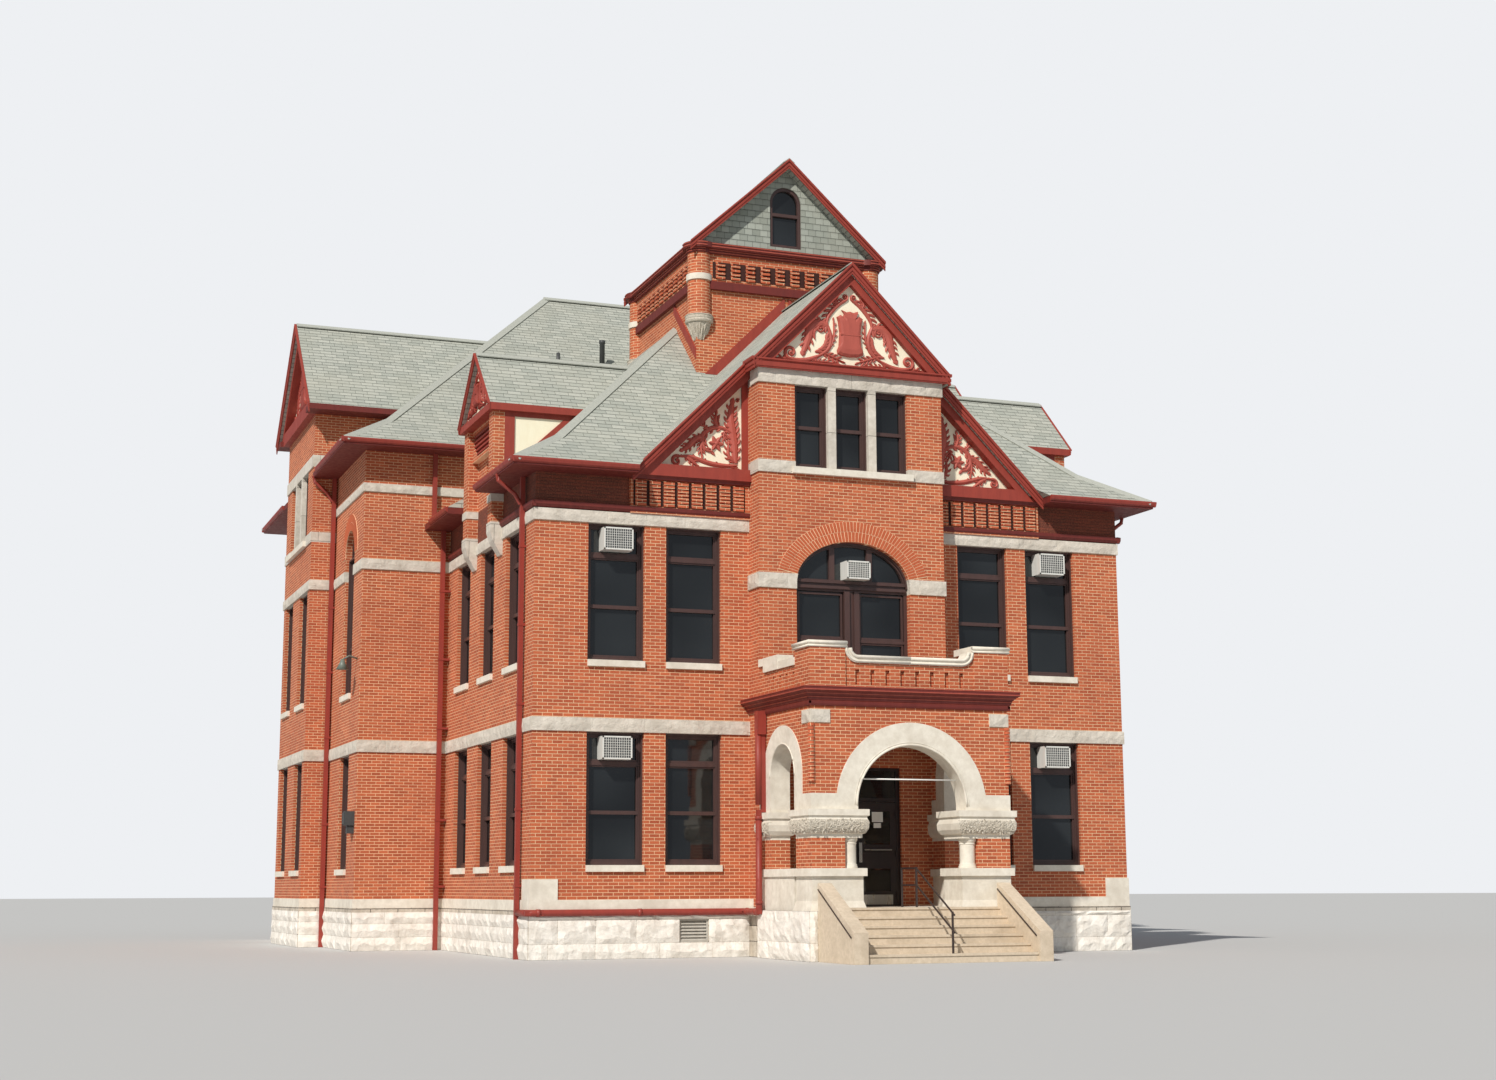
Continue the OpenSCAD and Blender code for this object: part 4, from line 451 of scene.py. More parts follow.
# Caps on hips and ridges
CAP = [(-0.14, -0.075), (0.0, 0.03), (0.14, -0.075), (0.13, -0.095), (0.0, 0.004), (-0.13, -0.095)]
HALF = sqrt(0.5)
HIPS = (((7.31, -0.605, 9.82), (6.125, 0.58, 10.56), (2.25, 4.455, 14.22), 1),
        ((9.37, 6.97, 11.64), (8.18, 8.16, 12.38), (2.89, MID_Y, 17.38), 1),
        ((9.37, 19.93, 11.64), (8.18, 18.74, 12.38), (2.89, MID_Y, 17.38), -1))
RIDGES = ((0, 2.93, MID_Y, 17.38), (4.3, 9.6, MID_Y, 15.98), (3.55, 7.06, DORMER_Y, 13.05))
p = Piece("hip_and_ridge_caps", cap_shingle, "shingles", both=True)
for foot, flare, top, turn in HIPS:
    p.beam(foot, flare, (HALF, turn * HALF), CAP)
    p.beam(flare, top, (HALF, turn * HALF), CAP)
for x0, x1, y, z in RIDGES:
    p.beam((x0, y, z), (x1, y, z), (0, 1), CAP)
p.done()
p = Piece("ridge_caps_on_the_centre_line", cap_shingle, "shingles")
for y0, y1, z in ((-0.7, 2.99, 14.53), (7.52, 12.2, 16.34), (2.74, 7.76, 18.06)):
    p.beam((0, y0, z), (0, y1, z), (1, 0), CAP)
p.done()


# Scrollwork on the gables
def ribbon(p, pts, widths, y, rise):
    """Raised band with a sharp back along a line, as wide as the widths say."""
    loops = []
    for i, (x, z) in enumerate(pts):
        a, b = pts[max(i - 1, 0)], pts[min(i + 1, len(pts) - 1)]
        d = hypot(b[0] - a[0], b[1] - a[1]) or 1.0
        nx, nz, w = -(b[1] - a[1]) / d, (b[0] - a[0]) / d, widths[i]
        loops.append([(x + nx * w, y, z + nz * w), (x + nx * w * 0.55, y - rise * 0.8, z + nz * w * 0.55),
                      (x - nx * w * 0.1, y - rise, z - nz * w * 0.1),
                      (x - nx * w * 0.7, y - rise * 0.6, z - nz * w * 0.7), (x - nx * w, y, z - nz * w)])
    p.loft(loops)


def leaf(p, x, z, turn, length, width, y, rise, curl=0.5):
    """Pointed leaf that curls as it grows."""
    pts, widths = [], []
    for i in range(6):
        t = i / 5
        a = turn + curl * t * 1.6
        pts.append((x, z))
        widths.append(width * (sin(pi * min(1.0, 0.14 + 0.86 * t)) ** 0.7) + 0.003)
        x, z = x + cos(a) * length / 5, z + sin(a) * length / 5
    ribbon(p, pts, widths, y, rise)


def bud(p, cx, cz, y, steps):
    """Eight-sided boss in steps of (radius, height)."""
    turns = [k * pi / 4 for k in range(8)]
    p.loft([[(cx + q * cos(t), y - h, cz + q * sin(t)) for t in turns] for q, h in steps])


def curl(p, cx, cz, r, start, hand, width, y, rise=0.045, turns=1.3):
    """Spiral end of a stem, with a bud in its middle."""
    pts, widths, n = [], [], 24
    for i in range(n + 1):
        t = i / n
        a, rr = start + hand * 2 * pi * turns * t, r * (1 - 0.8 * t)
        pts.append((cx + rr * cos(a), cz + rr * sin(a)))
        widths.append(width * (1 - 0.6 * t))
    ribbon(p, pts, widths, y, rise)
    bud(p, cx, cz, y, ((r * 0.26, 0.0), (r * 0.22, rise), (r * 0.08, rise * 1.25)))


def smooth_line(pts, n):
    """Points on a smooth line through the given ones."""
    q = [pts[0]] + list(pts) + [pts[-1]]
    line = []
    for k in range(n + 1):
        f = k / n * (len(pts) - 1)
        i = min(int(f), len(pts) - 2)
        t = f - i
        a, b, c, d = q[i:i + 4]
        line.append(tuple(0.5 * (
            2 * b[m] + (c[m] - a[m]) * t + (2 * a[m] - 5 * b[m] + 4 * c[m] - d[m]) * t * t
            + (3 * b[m] - a[m] - 3 * c[m] + d[m]) * t ** 3) for m in (0, 1)))
    return line


def frond(p, pts, body, size, y, place, n, sides, rise=0.045):
    """Acanthus stem: a line of changing width with lobes on one side or on both."""
    m = 3 * n + 3
    line = smooth_line([place(*q) for q in pts], m)
    widths = [body * (0.35 + 0.65 * sin(pi * min(1.0, 0.1 + 0.85 * i / m))) for i in range(m + 1)]
    ribbon(p, line, widths, y, rise)
    for k in range(n):
        i = 3 * k + 2
        a = atan2(line[i + 1][1] - line[i - 1][1], line[i + 1][0] - line[i - 1][0])
        for e in sides:
            e *= 1 if place(1, 0)[0] > place(0, 0)[0] else -1
            out = widths[i] * e * 0.7
            leaf(p, line[i][0] - sin(a) * out, line[i][1] + cos(a) * out, a + e * 0.85,
                 size * (0.7 + 0.3 * sin(pi * k / n)), size * 0.2, y, rise * 0.8, -e * 0.4)
    leaf(p, *line[-2], a, size * 0.9, body * 0.5 + 0.008, y, rise * 0.8, 0.1)


def shield(p, z, k, y):
    """Blank shield with ears, on a moulded edge."""
    half = [(0.0, -0.02), (0.2, 0.0), (0.29, 0.04), (0.3, 0.11), (0.26, 0.2), (0.24, 0.5), (0.27, 0.74),
            (0.3, 0.84), (0.22, 0.89), (0.15, 0.85), (0.13, 0.93), (0.19, 1.0), (0.08, 0.96), (0.0, 0.98)]
    full = half + [(-x, v) for x, v in reversed(half[1:-1])]
    p.loft([[(x * k * g, y - h, z + (0.5 + (v - 0.5) * g) * k) for x, v in full]
            for g, h in ((1.0, 0.0), (1.0, 0.05), (0.9, 0.085), (0.7, 0.1))])
    p.box(-0.24 * k, 0.24 * k, y - 0.106, y - 0.09, z + 0.44 * k, z + 0.47 * k)


# Fronds: points, half width of the stem, size of the lobes, number, sides.
# Curls: middle, radius, start, hand, half width.
FIELD = (
    [(((0.08, 1.47), (0.24, 1.37), (0.4, 1.21), (0.5, 1.05), (0.53, 0.9)), 0.05, 0.17, 6, (1,)),
     (((0.53, 0.93), (0.44, 0.68), (0.45, 0.47), (0.55, 0.31), (0.75, 0.17)), 0.055, 0.22, 7, (1,)),
     (((0.7, 0.2), (0.98, 0.085), (1.22, 0.06), (1.44, 0.1)), 0.055, 0.06, 3, (-1,)),
     (((0.53, 0.88), (0.73, 0.91), (0.9, 0.79), (0.96, 0.54), (1.07, 0.25)), 0.115, 0.14, 8, (1, -1)),
     (((0.44, 0.42), (0.36, 0.68), (0.37, 1.02)), 0.025, 0.08, 5, (1,)),
     (((0.62, 0.27), (0.42, 0.2), (0.2, 0.12)), 0.034, 0.13, 4, (1, -1)),
     (((0.85, 0.06), (0.6, 0.07), (0.3, 0.05)), 0.026, 0.1, 5, (-1,)),
     (((1.46, 0.06), (1.56, 0.08), (1.68, 0.06)), 0.03, 0.09, 2, (1, -1)),
     (((0.3, 1.32), (0.33, 1.42), (0.27, 1.5)), 0.03, 0.09, 2, (1, -1))],
    [(1.36, 0.22, 0.14, -1.25, 1, 0.046), (0.1, 1.54, 0.07, -1.6, -1, 0.028),
     (0.68, 0.8, 0.1, 1.9, 1, 0.028)])
CORNER = (
    [(((0.13, 0.18), (0.15, 0.6), (0.2, 0.94), (0.24, 1.28), (0.2, 1.62)), 0.115, 0.17, 9, (1, -1)),
     (((0.2, 0.88), (0.44, 1.0), (0.7, 0.98), (0.9, 0.84), (0.95, 0.64), (0.86, 0.46), (0.7, 0.42)),
      0.062, 0.14, 7, (-1,)),
     (((0.1, 0.13), (0.36, 0.11), (0.68, 0.13), (0.95, 0.19), (1.24, 0.27), (1.5, 0.26)),
      0.06, 0.06, 4, (1,)),
     (((0.93, 0.76), (1.1, 0.7), (1.3, 0.5), (1.42, 0.42)), 0.08, 0.12, 5, (1, -1)),
     (((0.94, 0.7), (0.98, 0.52), (0.95, 0.32)), 0.04, 0.12, 4, (1, -1)),
     (((0.56, 1.0), (0.62, 1.16), (0.6, 1.32)), 0.055, 0.12, 4, (1, -1)),
     (((0.8, 0.92), (0.9, 1.02), (0.92, 1.06)), 0.034, 0.1, 2, (1, -1)),
     (((0.16, 0.2), (0.3, 0.36), (0.3, 0.62)), 0.045, 0.13, 4, (-1,)),
     (((1.38, 0.27), (1.22, 0.18), (1.06, 0.06)), 0.055, 0.1, 3, (1, -1)),
     (((0.4, 0.92), (0.42, 0.8), (0.36, 0.68)), 0.034, 0.1, 3, (1, -1)),
     (((0.28, 0.1), (0.14, 0.06), (0.05, 0.05)), 0.022, 0.06, 2, (1, -1))],
    [(1.57, 0.15, 0.12, 2.1, -1, 0.046), (0.07, 1.68, 0.05, 2.6, -1, 0.02)])


def drawn(p, design, k, y, place):
    """Fronds and curls of a design at scale k, on the face at y."""
    mirror = place(1, 0)[0] < place(0, 0)[0]
    for pts, body, size, n, sides in design[0]:
        frond(p, pts, body * k, size * k, y, place, n, sides)
    for x, z, r, start, hand, width in design[1]:
        if mirror:
            start, hand = pi - start, -hand
        curl(p, *place(x, z), r * k, start, hand, width * k, y)


def gable_scrolls(p, half, y):
    """Scrolls and a shield that fill a triangle with 45 degree slopes, from its base at 0."""
    k = half / 1.8
    for e in (1, -1):
        drawn(p, FIELD, k, y, lambda x, z, e=e: (e * x * k, z * k))
    shield(p, 0.24 * k, k, y)


def corner_scrolls(p, x0, z0, leg, y):
    """Scrolls that fill a right-angled triangle beside the centre bay."""
    k = leg / 1.99

    def place(x, z):
        return (x0 + x * k, z0 + z * k)

    drawn(p, CORNER, k, y, place)
    cx, cz = place(0.6, 0.62)
    for i in range(6):
        leaf(p, cx, cz, i * pi / 3, 0.19 * k, 0.055 * k, y, 0.05, 0.1)
    bud(p, cx, cz, y, ((0.05, 0.0), (0.045, 0.05), (0.015, 0.065)))


p = Piece("front_gable_scrolls", sunlit_scroll_red, "red_trim", at=wall_at((0, 0, 0), FRONT_FOOT))
gable_scrolls(p, 1.8, -0.54)
p.done()
p = Piece("lower_gable_scrolls", sunlit_scroll_red, "red_trim", both=True)
corner_scrolls(p, 2.27, LOW_FOOT, 1.8, 0.06)
p.done()
p = Piece("lower_gable_boards", red, "red_trim", both=True)
p.box(BAY_X + 0.002, BAY_X + 0.14, 0.01, 0.07, LOW_FOOT - 0.02, 12.0)
p.done()
# Cornice under the foot boards, in the darker red: painted shade
p = Piece("cornice_over_the_frieze", red_shadow, "red_trim", both=True)
p.beam((2.12, -0.06, 9.635), (4.72, -0.06, 9.635), (0, -1),
       [(0, 0), (0.05, 0.01), (0.06, 0.05), (0.1, 0.09), (0.105, 0.13), (0, 0.14)])
p.done()
for s, tag in SIDES:
    p = Piece(f"{tag}_gable_scrolls", red, "red_trim", at=wall_at((s * 9.3, MID_Y, 90 * s), SIDE_FOOT))
    gable_scrolls(p, 2.06, 0)
    p.done()
    w = (s * 6.965, DORMER_Y, 90 * s)
    p = Piece(f"{tag}_dormer_panel", cream, "cream_panels", at=wall_at(w, DORMER_FOOT))
    p.prism([(-1, 0), (1, 0), (0, 1)], 0.004, -0.012)
    p.done()
    p = Piece(f"{tag}_dormer_scrolls", red, "red_trim", at=wall_at(w, DORMER_FOOT + 0.01))
    gable_scrolls(p, 0.96, -0.011)
    p.done()


# Brickwork in relief
def voussoirs(p, cz, half, rise, rows, y0, y1, a0=0.0, a1=180.0):
    """Bricks on edge round an arch, in rings given as (inner, outer) steps beyond it."""
    for r0, r1 in rows:
        length = radians(a1 - a0) * (half + rise) / 2 + (r0 + r1) * 1.5
        n = int(length / COURSE)
        for i in range(n):
            t0, t1 = (radians(a0 + (a1 - a0) * (i + e) / n) for e in (0.1, 0.9))
            q = [((half + r) * cos(t), cz + (rise + r) * sin(t))
                 for t, r in ((t0, r0), (t1, r0), (t1, r1), (t0, r1))]
            p.prism(q, y0, y1 + random.uniform(-0.0015, 0.0015))


def mortar_ring(p, cz, half, rise, r0, r1, y0, y1, a0=0.0, a1=180.0, n=40):
    """Bed of mortar behind the bricks of an arch."""
    p.loft([[((half + r) * cos(t), y, cz + (rise + r) * sin(t))
             for r, y in ((r0, y0), (r0, y1), (r1, y1), (r1, y0))]
            for t in (radians(a0 + (a1 - a0) * i / n) for i in range(n + 1))])


p = Piece("mortar_of_the_porch_arch", mortar, "brick")
mortar_ring(p, *BALCONY_ARCH, 0.008, 0.434, BAY_Y + 0.005, BAY_Y - 0.0065, 11.5, 168.5)
p.done()
p = Piece("mortar_of_the_window_arches", mortar, "brick", both=True)
for w in ROUND_AT:
    p.at = wall_at(w)
    mortar_ring(p, *ROUND_ARCH, 0.006, 0.404, 0.005, -0.009)
p.done()
p = Piece("brick_arch_over_the_porch", ring_brick, "brick")
voussoirs(p, *BALCONY_ARCH, [(0.012, 0.216), (0.226, 0.43)], BAY_Y + 0.005, BAY_Y - 0.012, a0=12, a1=168)
p.done()
for s, tag in SIDES:
    p = Piece(f"{tag}_window_arches", ring_brick, "brick")
    for x, y, turn in ROUND_AT:
        p.at = wall_at((s * x, y, s * turn))
        voussoirs(p, *ROUND_ARCH, [(0.01, 0.2), (0.21, 0.4)], 0.005, -0.014)
    p.done()


def stacks(p, x0, x1, z0, z1, pitch, width, courses, fill, y=-0.002):
    """Openwork of a frieze: piers of short courses with slots between them."""
    n = round((x1 - x0) / pitch)
    step, h = (x1 - x0) / n, (z1 - z0) / courses
    for i in range(n):
        c = x0 + (i + 0.5) * step
        for j in range(courses):
            p.box(c - width / 2, c + width / 2, y - 0.04, y, z0 + j * h, z0 + (j + fill) * h)
        p.box(c - width / 2, c - width / 2 + 0.05, y - 0.02, y, z0, z1)


# Friezes: foot, top, pitch, width, courses and fill, then their places as wall, start and end
TOWER_ROW, FRONT_ROW = (15.05, 15.44, 0.35, 0.22, 4, 0.52), (9.09, 9.62, 0.305, 0.235, 7, 0.72)
FRIEZES = (((0, 2.94, 0), -1.83, 1.83, TOWER_ROW), ((0, 7.56, 180), -1.83, 1.83, TOWER_ROW),
           ((2.26, 5.25, 90), -1.86, 1.86, TOWER_ROW), ((-2.26, 5.25, -90), -1.86, 1.86, TOWER_ROW),
           ((0, -0.06, 0), 2.22, 4.66, FRONT_ROW), ((0, -0.06, 0), -4.66, -2.22, FRONT_ROW))
p = Piece("frieze_openwork", arch_brick, "brick")
# A dark sheet behind the openwork: painted shade in the recesses of the friezes
q = Piece("frieze_recess_shade", painted_recess_shade, "brick")
for w, x0, x1, row in FRIEZES:
    p.at = q.at = wall_at(w)
    stacks(p, x0, x1, *row)
    q.box(x0, x1, -0.004, 0.01, *row[:2])
p.done()
q.done()

# Moulding under the frieze, in the darker red: painted shade
p = Piece("red_moulding_under_the_frieze", red_shadow, "red_trim", both=True)
STRING, STRING_Z = [(0.0, 0.0), (0.05, 0.01), (0.085, 0.06), (0.09, 0.13), (0.0, 0.14)], 8.935
p.beam((2.12, 0, STRING_Z), (6.79, 0, STRING_Z), (0, -1), STRING)
for y0, y1 in ((-0.08, 2.58), (5.23, 7.44)):
    p.beam((PAV_X, y0, STRING_Z), (PAV_X, y1, STRING_Z), (1, 0), STRING)
p.done()


# Rock-faced blocks over the flat stone of the base and the bands
def rocks(p, x0, x1, z0, z1, length, proud, y):
    """A course of rough blocks in front of the plane y, each with a flat rim and a broken face."""
    x = x0
    while x < x1 - 0.05:
        e = min(x + length * random.uniform(0.7, 1.35), x1)
        if x1 - e < length * 0.35:
            e = x1
        a, b, c, d = x + 0.004, e - 0.004, z0 + 0.003, z1 - 0.003
        nx, nz = max(2, int((b - a) / 0.12)), max(2, int((d - c) / 0.11))
        verts = []
        for j in range(nz + 1):
            for i in range(nx + 1):
                edge = i in (0, nx) or j in (0, nz)
                out = 0.003 if edge else proud * random.uniform(0.45, 1.0)
                w = 0.0 if edge else 0.3
                verts.append((a + (b - a) * (i + w * random.uniform(-1, 1)) / nx, y - out,
                              c + (d - c) * (j + w * random.uniform(-1, 1)) / nz))
        n = nx + 1
        faces = [(j * n + i, j * n + i + 1, (j + 1) * n + i + 1, (j + 1) * n + i)
                 for j in range(nz) for i in range(nx)]
        rim = [*range(n)] + [j * n + nx for j in range(1, nz + 1)] + \
              [nz * n + i for i in range(nx - 1, -1, -1)] + [j * n for j in range(nz - 1, 0, -1)]
        k, m = len(verts), len(rim)
        verts += [(verts[i][0], y + 0.004, verts[i][2]) for i in rim]
        faces += [(rim[i], rim[(i + 1) % m], k + (i + 1) % m, k + i) for i in range(m)]
        faces.append(tuple(range(k, k + m)))
        p.add(verts, faces)
        x = e


# Runs of wall on the right side, each as wall place, start and end
RUNS = (((0, 0, 0), 2.15, 6.74), ((PAV_X, 0, 90), -0.03, 7.52), ((0, MAIN_Y, 0), 6.75, 8.79),
        ((MAIN_X, 0, 90), 7.55, 11.3), ((0, 11.33, 0), 8.8, 9.39), ((SIDE_X, 0, 90), 11.3, 15.6),
        ((0, 15.57, 180), -9.39, -8.8), ((MAIN_X, 0, 90), 15.6, 19.35), ((0, REAR_Y, 180), 0, 8.79))
p = Piece("rock_faced_base", rock, "stone", both=True)
for w, x0, x1 in RUNS:
    p.at = wall_at(w)
    front = w == (0, 0, 0)
    joint = BASEMENT_Z[1] if front else 0.6
    for z0, z1 in ((0.0, 0.3), (0.3, joint), (joint, 0.855)):
        beside = front and (z0, z1) == BASEMENT_Z
        for a, b in ((x0, BASEMENT_X[0]), (BASEMENT_X[1], x1)) if beside else ((x0, x1),):
            rocks(p, a, b, z0, z1, 1.0, 0.05, -0.04)
for w, x0, x1, proud in (((2.2, 0, 90), -3.3, -0.62, 0.05), ((0, -3.31, 0), 2.04, 2.2, 0.04)):
    p.at = wall_at(w)
    for z0, z1 in ((0.0, 0.34), (0.34, 0.93)):
        rocks(p, x0, x1, z0, z1, 0.8, proud, 0.0)
p.done()
p = Piece("rock_faced_bands", band_rock, "stone", both=True)
for w, x0, x1 in RUNS:
    p.at = wall_at(w)
    rocks(p, x0, x1, *LOW_BAND, 1.1, 0.022, -0.03)
    arched = [y for x, y, turn in ROUND_AT if w[0] == MAIN_X and x0 < y < x1]
    for a, b in ((x0, arched[0] - HALF_W), (arched[0] + HALF_W, x1)) if arched else ((x0, x1),):
        rocks(p, a, b, *HIGH_BAND, 1.1, 0.022, -0.03)
    if w[0] == MAIN_X or w[1] in (MAIN_Y, REAR_Y):
        rocks(p, x0, x1, 10.504, 10.707, 0.9, 0.02, -0.03)
for w, x0, x1, z0, z1 in (((0, BAY_Y, 0), 0.0, 2.14, 11.78, 12.08), ((0, BAY_Y, 0), 1.4, 2.14, 9.87, 10.13),
                          ((0, BAY_Y, 0), 1.5, 2.14, 7.45, 7.76), ((BAY_X, 0, 90), -0.63, 0.0, 7.45, 7.76)):
    p.at = wall_at(w)
    rocks(p, x0, x1, z0, z1, 1.0, 0.025, -0.03)
for w, x0, x1 in (((0, -3.24, 0), 1.71, 2.13), ((2.13, 0, 90), -3.24, -2.82)):
    p.at = wall_at(w)
    rocks(p, x0, x1, 4.48, 4.73, 1.0, 0.03, 0.0)
p.done()

# Carved corbels under the corner shafts of the tower, each with two rows of upright leaves
p = Piece("tower_corbels", carved_stone_with_painted_shade, "stone", both=True)
for y in SHAFT_Y:
    p.lathe(SHAFT_X, y, [
        (0.001, 13.4), (0.05, 13.42), (0.075, 13.475), (0.05, 13.53), (0.122, 13.62), (0.165, 13.72),
        (0.2, 13.8), (0.228, 13.86), (0.274, 13.965), (0.278, 13.985), (0.31, 13.99), (0.325, 14.03),
        (0.31, 14.07), (0.318, 14.08), (0.318, 14.14), (0.33, 14.15), (0.31, 14.172), (0.001, 14.175)], 28)
    for k in range(24):
        c, s = cos(k * pi / 12), sin(k * pi / 12)
        heights = (13.74, 13.8, 13.87, 13.94, 13.97) if k % 2 else (13.6, 13.68, 13.76, 13.84, 13.88)
        loops = []
        for z, w in zip(heights, (0.008, 0.03, 0.042, 0.034, 0.008)):
            q = 0.07 + (z - 13.52) * 0.436
            u, v = 0.6 * w, q + 0.012
            rim = ((q - 0.02, -w), (v, -u), (q + 0.03, 0), (v, u), (q - 0.02, w))
            loops.append([(SHAFT_X + r * c - v * s, y + r * s + v * c, z) for r, v in rim])
        p.loft(loops)
p.done()

# Rolls of the porch cornice and of the tower cornice, which goes round the shafts, in the sunlit red:
# painted highlights
p = Piece("porch_cornice_mouldings", red_light, "red_trim", both=True)
for z, o in ((4.885, 0.03), (4.955, 0.07), (5.025, 0.12), (5.085, 0.19), (5.15, 0.197)):
    roll = [(o - 0.03, 0), (o + 0.012, 0.0), (o + 0.018, 0.01), (o + 0.012, 0.02), (o - 0.03, 0.02)]
    p.beam((0, PORCH_Y, z), (BAY_X + o + 0.01, PORCH_Y, z), (0, -1), roll)
    p.beam((BAY_X, PORCH_Y - o - 0.01, z), (BAY_X, -0.02, z), (1, 0), roll)
p.done()
p = Piece("tower_cornice_mouldings", red_light, "red_trim", both=True)
roll = [(-0.01, 0), (0.012, 0.0), (0.018, 0.012), (0.012, 0.024), (-0.01, 0.024)]
for z, o in ((15.64, 0.112), (15.7, 0.112), (15.745, 0.202), (15.81, 0.202)):
    p.beam((0, TOWER_Y[0] - o, z), (SHAFT_X, TOWER_Y[0] - o, z), (0, -1), roll)
    p.beam((TOWER_X + o, SHAFT_Y[0], z), (TOWER_X + o, SHAFT_Y[1], z), (1, 0), roll)
    p.beam((0, TOWER_Y[1] + o, z), (SHAFT_X, TOWER_Y[1] + o, z), (0, 1), roll)
    for y, e in zip(SHAFT_Y, (-1, 1)):
        p.loft([[(SHAFT_X + (o + 0.175 + a) * cos(t), y + e * (o + 0.175 + a) * sin(t), z + u)
                 for a, u in roll] for t in (radians(100 - 110 * i / 16) for i in range(17))])
p.done()

# Lamp and meter box on the left wall
p = Piece("wall_lamp", lamp_green, "dark_metal", smooth=True)
p.tube([(-8.75, 7.9, 6.62), (-8.95, 7.9, 6.68), (-9.08, 7.9, 6.6)], 0.02, 8)
p.lathe(-9.1, 7.9, [(0.001, 6.6), (0.04, 6.6), (0.07, 6.5), (0.15, 6.36), (0.001, 6.37)], 18)
p.done()
p = Piece("meter_box", grey, "dark_metal")
p.box(-8.98, -8.755, 7.7, 7.95, 2.8, 3.12)
p.box(-8.92, -8.755, 7.74, 7.9, 2.62, 2.8)
p.box(-9.0, -8.98, 7.72, 7.93, 2.83, 3.09)
p.done()


# Windows
def sash(p, x0, x1, z0, z1, w=0.032, foot=True, head=True):
    """Frame of one sash, in front of its glass. A shared bar has no foot or head of its own."""
    y0, y1 = 0.172, 0.214
    p.box(x0, x0 + w, y0, y1, z0, z1)
    p.box(x1 - w, x1, y0, y1, z0, z1)
    if foot:
        p.box(x0 + w, x1 - w, y0, y1, z0, z0 + w * 1.3)
    if head:
        p.box(x0 + w, x1 - w, y0, y1, z1 - w, z1)


def casing(p, half, z0, z1, w=0.035):
    """Moulded stop round an opening, in front of its frame."""
    for s in (1, -1):
        p.box(*sorted((s * half, s * (half - w))), 0.085, 0.152, z0, z1)
    p.box(-half + w, half - w, 0.085, 0.152, z1 - w, z1)


def square_lights(p, half, z0, z1, bars=(0.394, 0.765)):
    """Sashes of a window with cross bars at shares of its height."""
    h, f = z1 - z0, 0.075
    marks = [f / 2] + [b * h for b in bars] + [h - f / 2]
    for i, (a, b) in enumerate(zip(marks, marks[1:])):
        sash(p, -half + f, half - f, z0 + a + f / 2, z0 + b - f / 2, foot=i != 1, head=i != 0)


p = Piece("window_sashes", dark, "dark_frames", both=True)
for w in FRONT_AT + SIDE_AT + BAY_AT + REAR_AT + ROUND_AT:
    p.at = wall_at(w)
    square_lights(p, HALF_W, *LOWER)
    casing(p, HALF_W, *LOWER)
    if w not in ROUND_AT:
        square_lights(p, HALF_W, *UPPER)
        casing(p, HALF_W, *UPPER)
    else:
        casing(p, HALF_W, UPPER[0], 9.2)
p.done()
p = Piece("attic_sashes", dark, "dark_frames")
for w in ((0, BAY_Y, 0), (SIDE_X, MID_Y, 90), (-SIDE_X, MID_Y, -90)):
    place = wall_at(w)
    for x in (-0.925, 0, 0.925):
        p.at = lambda q, x=x, place=place: place((q[0] + x, q[1], q[2]))
        square_lights(p, 0.3725, *ATTIC, (0.5,))
        casing(p, 0.3725, *ATTIC, 0.028)
p.done()
p = Piece("arched_window_mouldings", dark, "dark_frames", at=wall_at((0, BAY_Y, 0)))
for x0, x1 in ((-1.2, -0.19), (0.19, 1.2)):
    sash(p, x0, x1, 5.6, 6.4, 0.04)
    sash(p, x0, x1, 6.46, 7.42, 0.04)
for s in (1, -1):
    p.box(*sorted((s * 0.17, s * 0.05)), 0.1, 0.152, 5.52, 7.46)
p.box(-1.24, 1.24, 0.09, 0.152, 7.5, 7.56)
p.box(-1.24, 1.24, 0.11, 0.152, 7.62, 7.68)
p.loft([[(half * cos(t), y, BALCONY_ARCH[0] + rise * sin(t)) for half, rise, y in
         ((1.288, 0.918, 0.1), (1.25, 0.88, 0.1), (1.25, 0.88, 0.152), (1.288, 0.918, 0.152))]
        for t in (pi * i / 36 for i in range(37))])
p.done()

# Cooling units in the windows: middle, face of the wall, foot, width and height
COOLERS = [(s * 4.99, 0, z, 0.62, 0.46) for s in (1, -1) for z in (3.903, 8.129)]
p = Piece("cooler_grilles", white, "white_metal")
q = Piece("cooler_grille_slots", grey, "white_metal")
for cx, y, z0, w, h in COOLERS + [(0.06, BAY_Y, 7.7, 0.53, 0.38)]:
    x0, x1, z1, f, rim = cx - w / 2, cx + w / 2, z0 + h, y - 0.13, 0.03
    p.bars(f - 0.016, f, (x0, x1, z0, z0 + rim), (x0, x1, z1 - rim, z1), (x0, x0 + rim, z0, z1),
           (x1 - rim, x1, z0, z1))
    q.box(x0 + rim, x1 - rim, f - 0.005, f + 0.001, z0 + rim, z1 - rim)
    for i in range(1, 12):
        x = x0 + rim + i * (w - 2 * rim) / 12
        p.box(x - 0.004, x + 0.004, f - 0.012, f - 0.001, z0 + 0.02, z1 - 0.02)
    for i in range(1, 8):
        z = z0 + rim + i * (h - 2 * rim) / 8
        p.box(x0 + 0.02, x1 - 0.02, f - 0.01, f - 0.001, z - 0.004, z + 0.004)
p.done()
q.done()

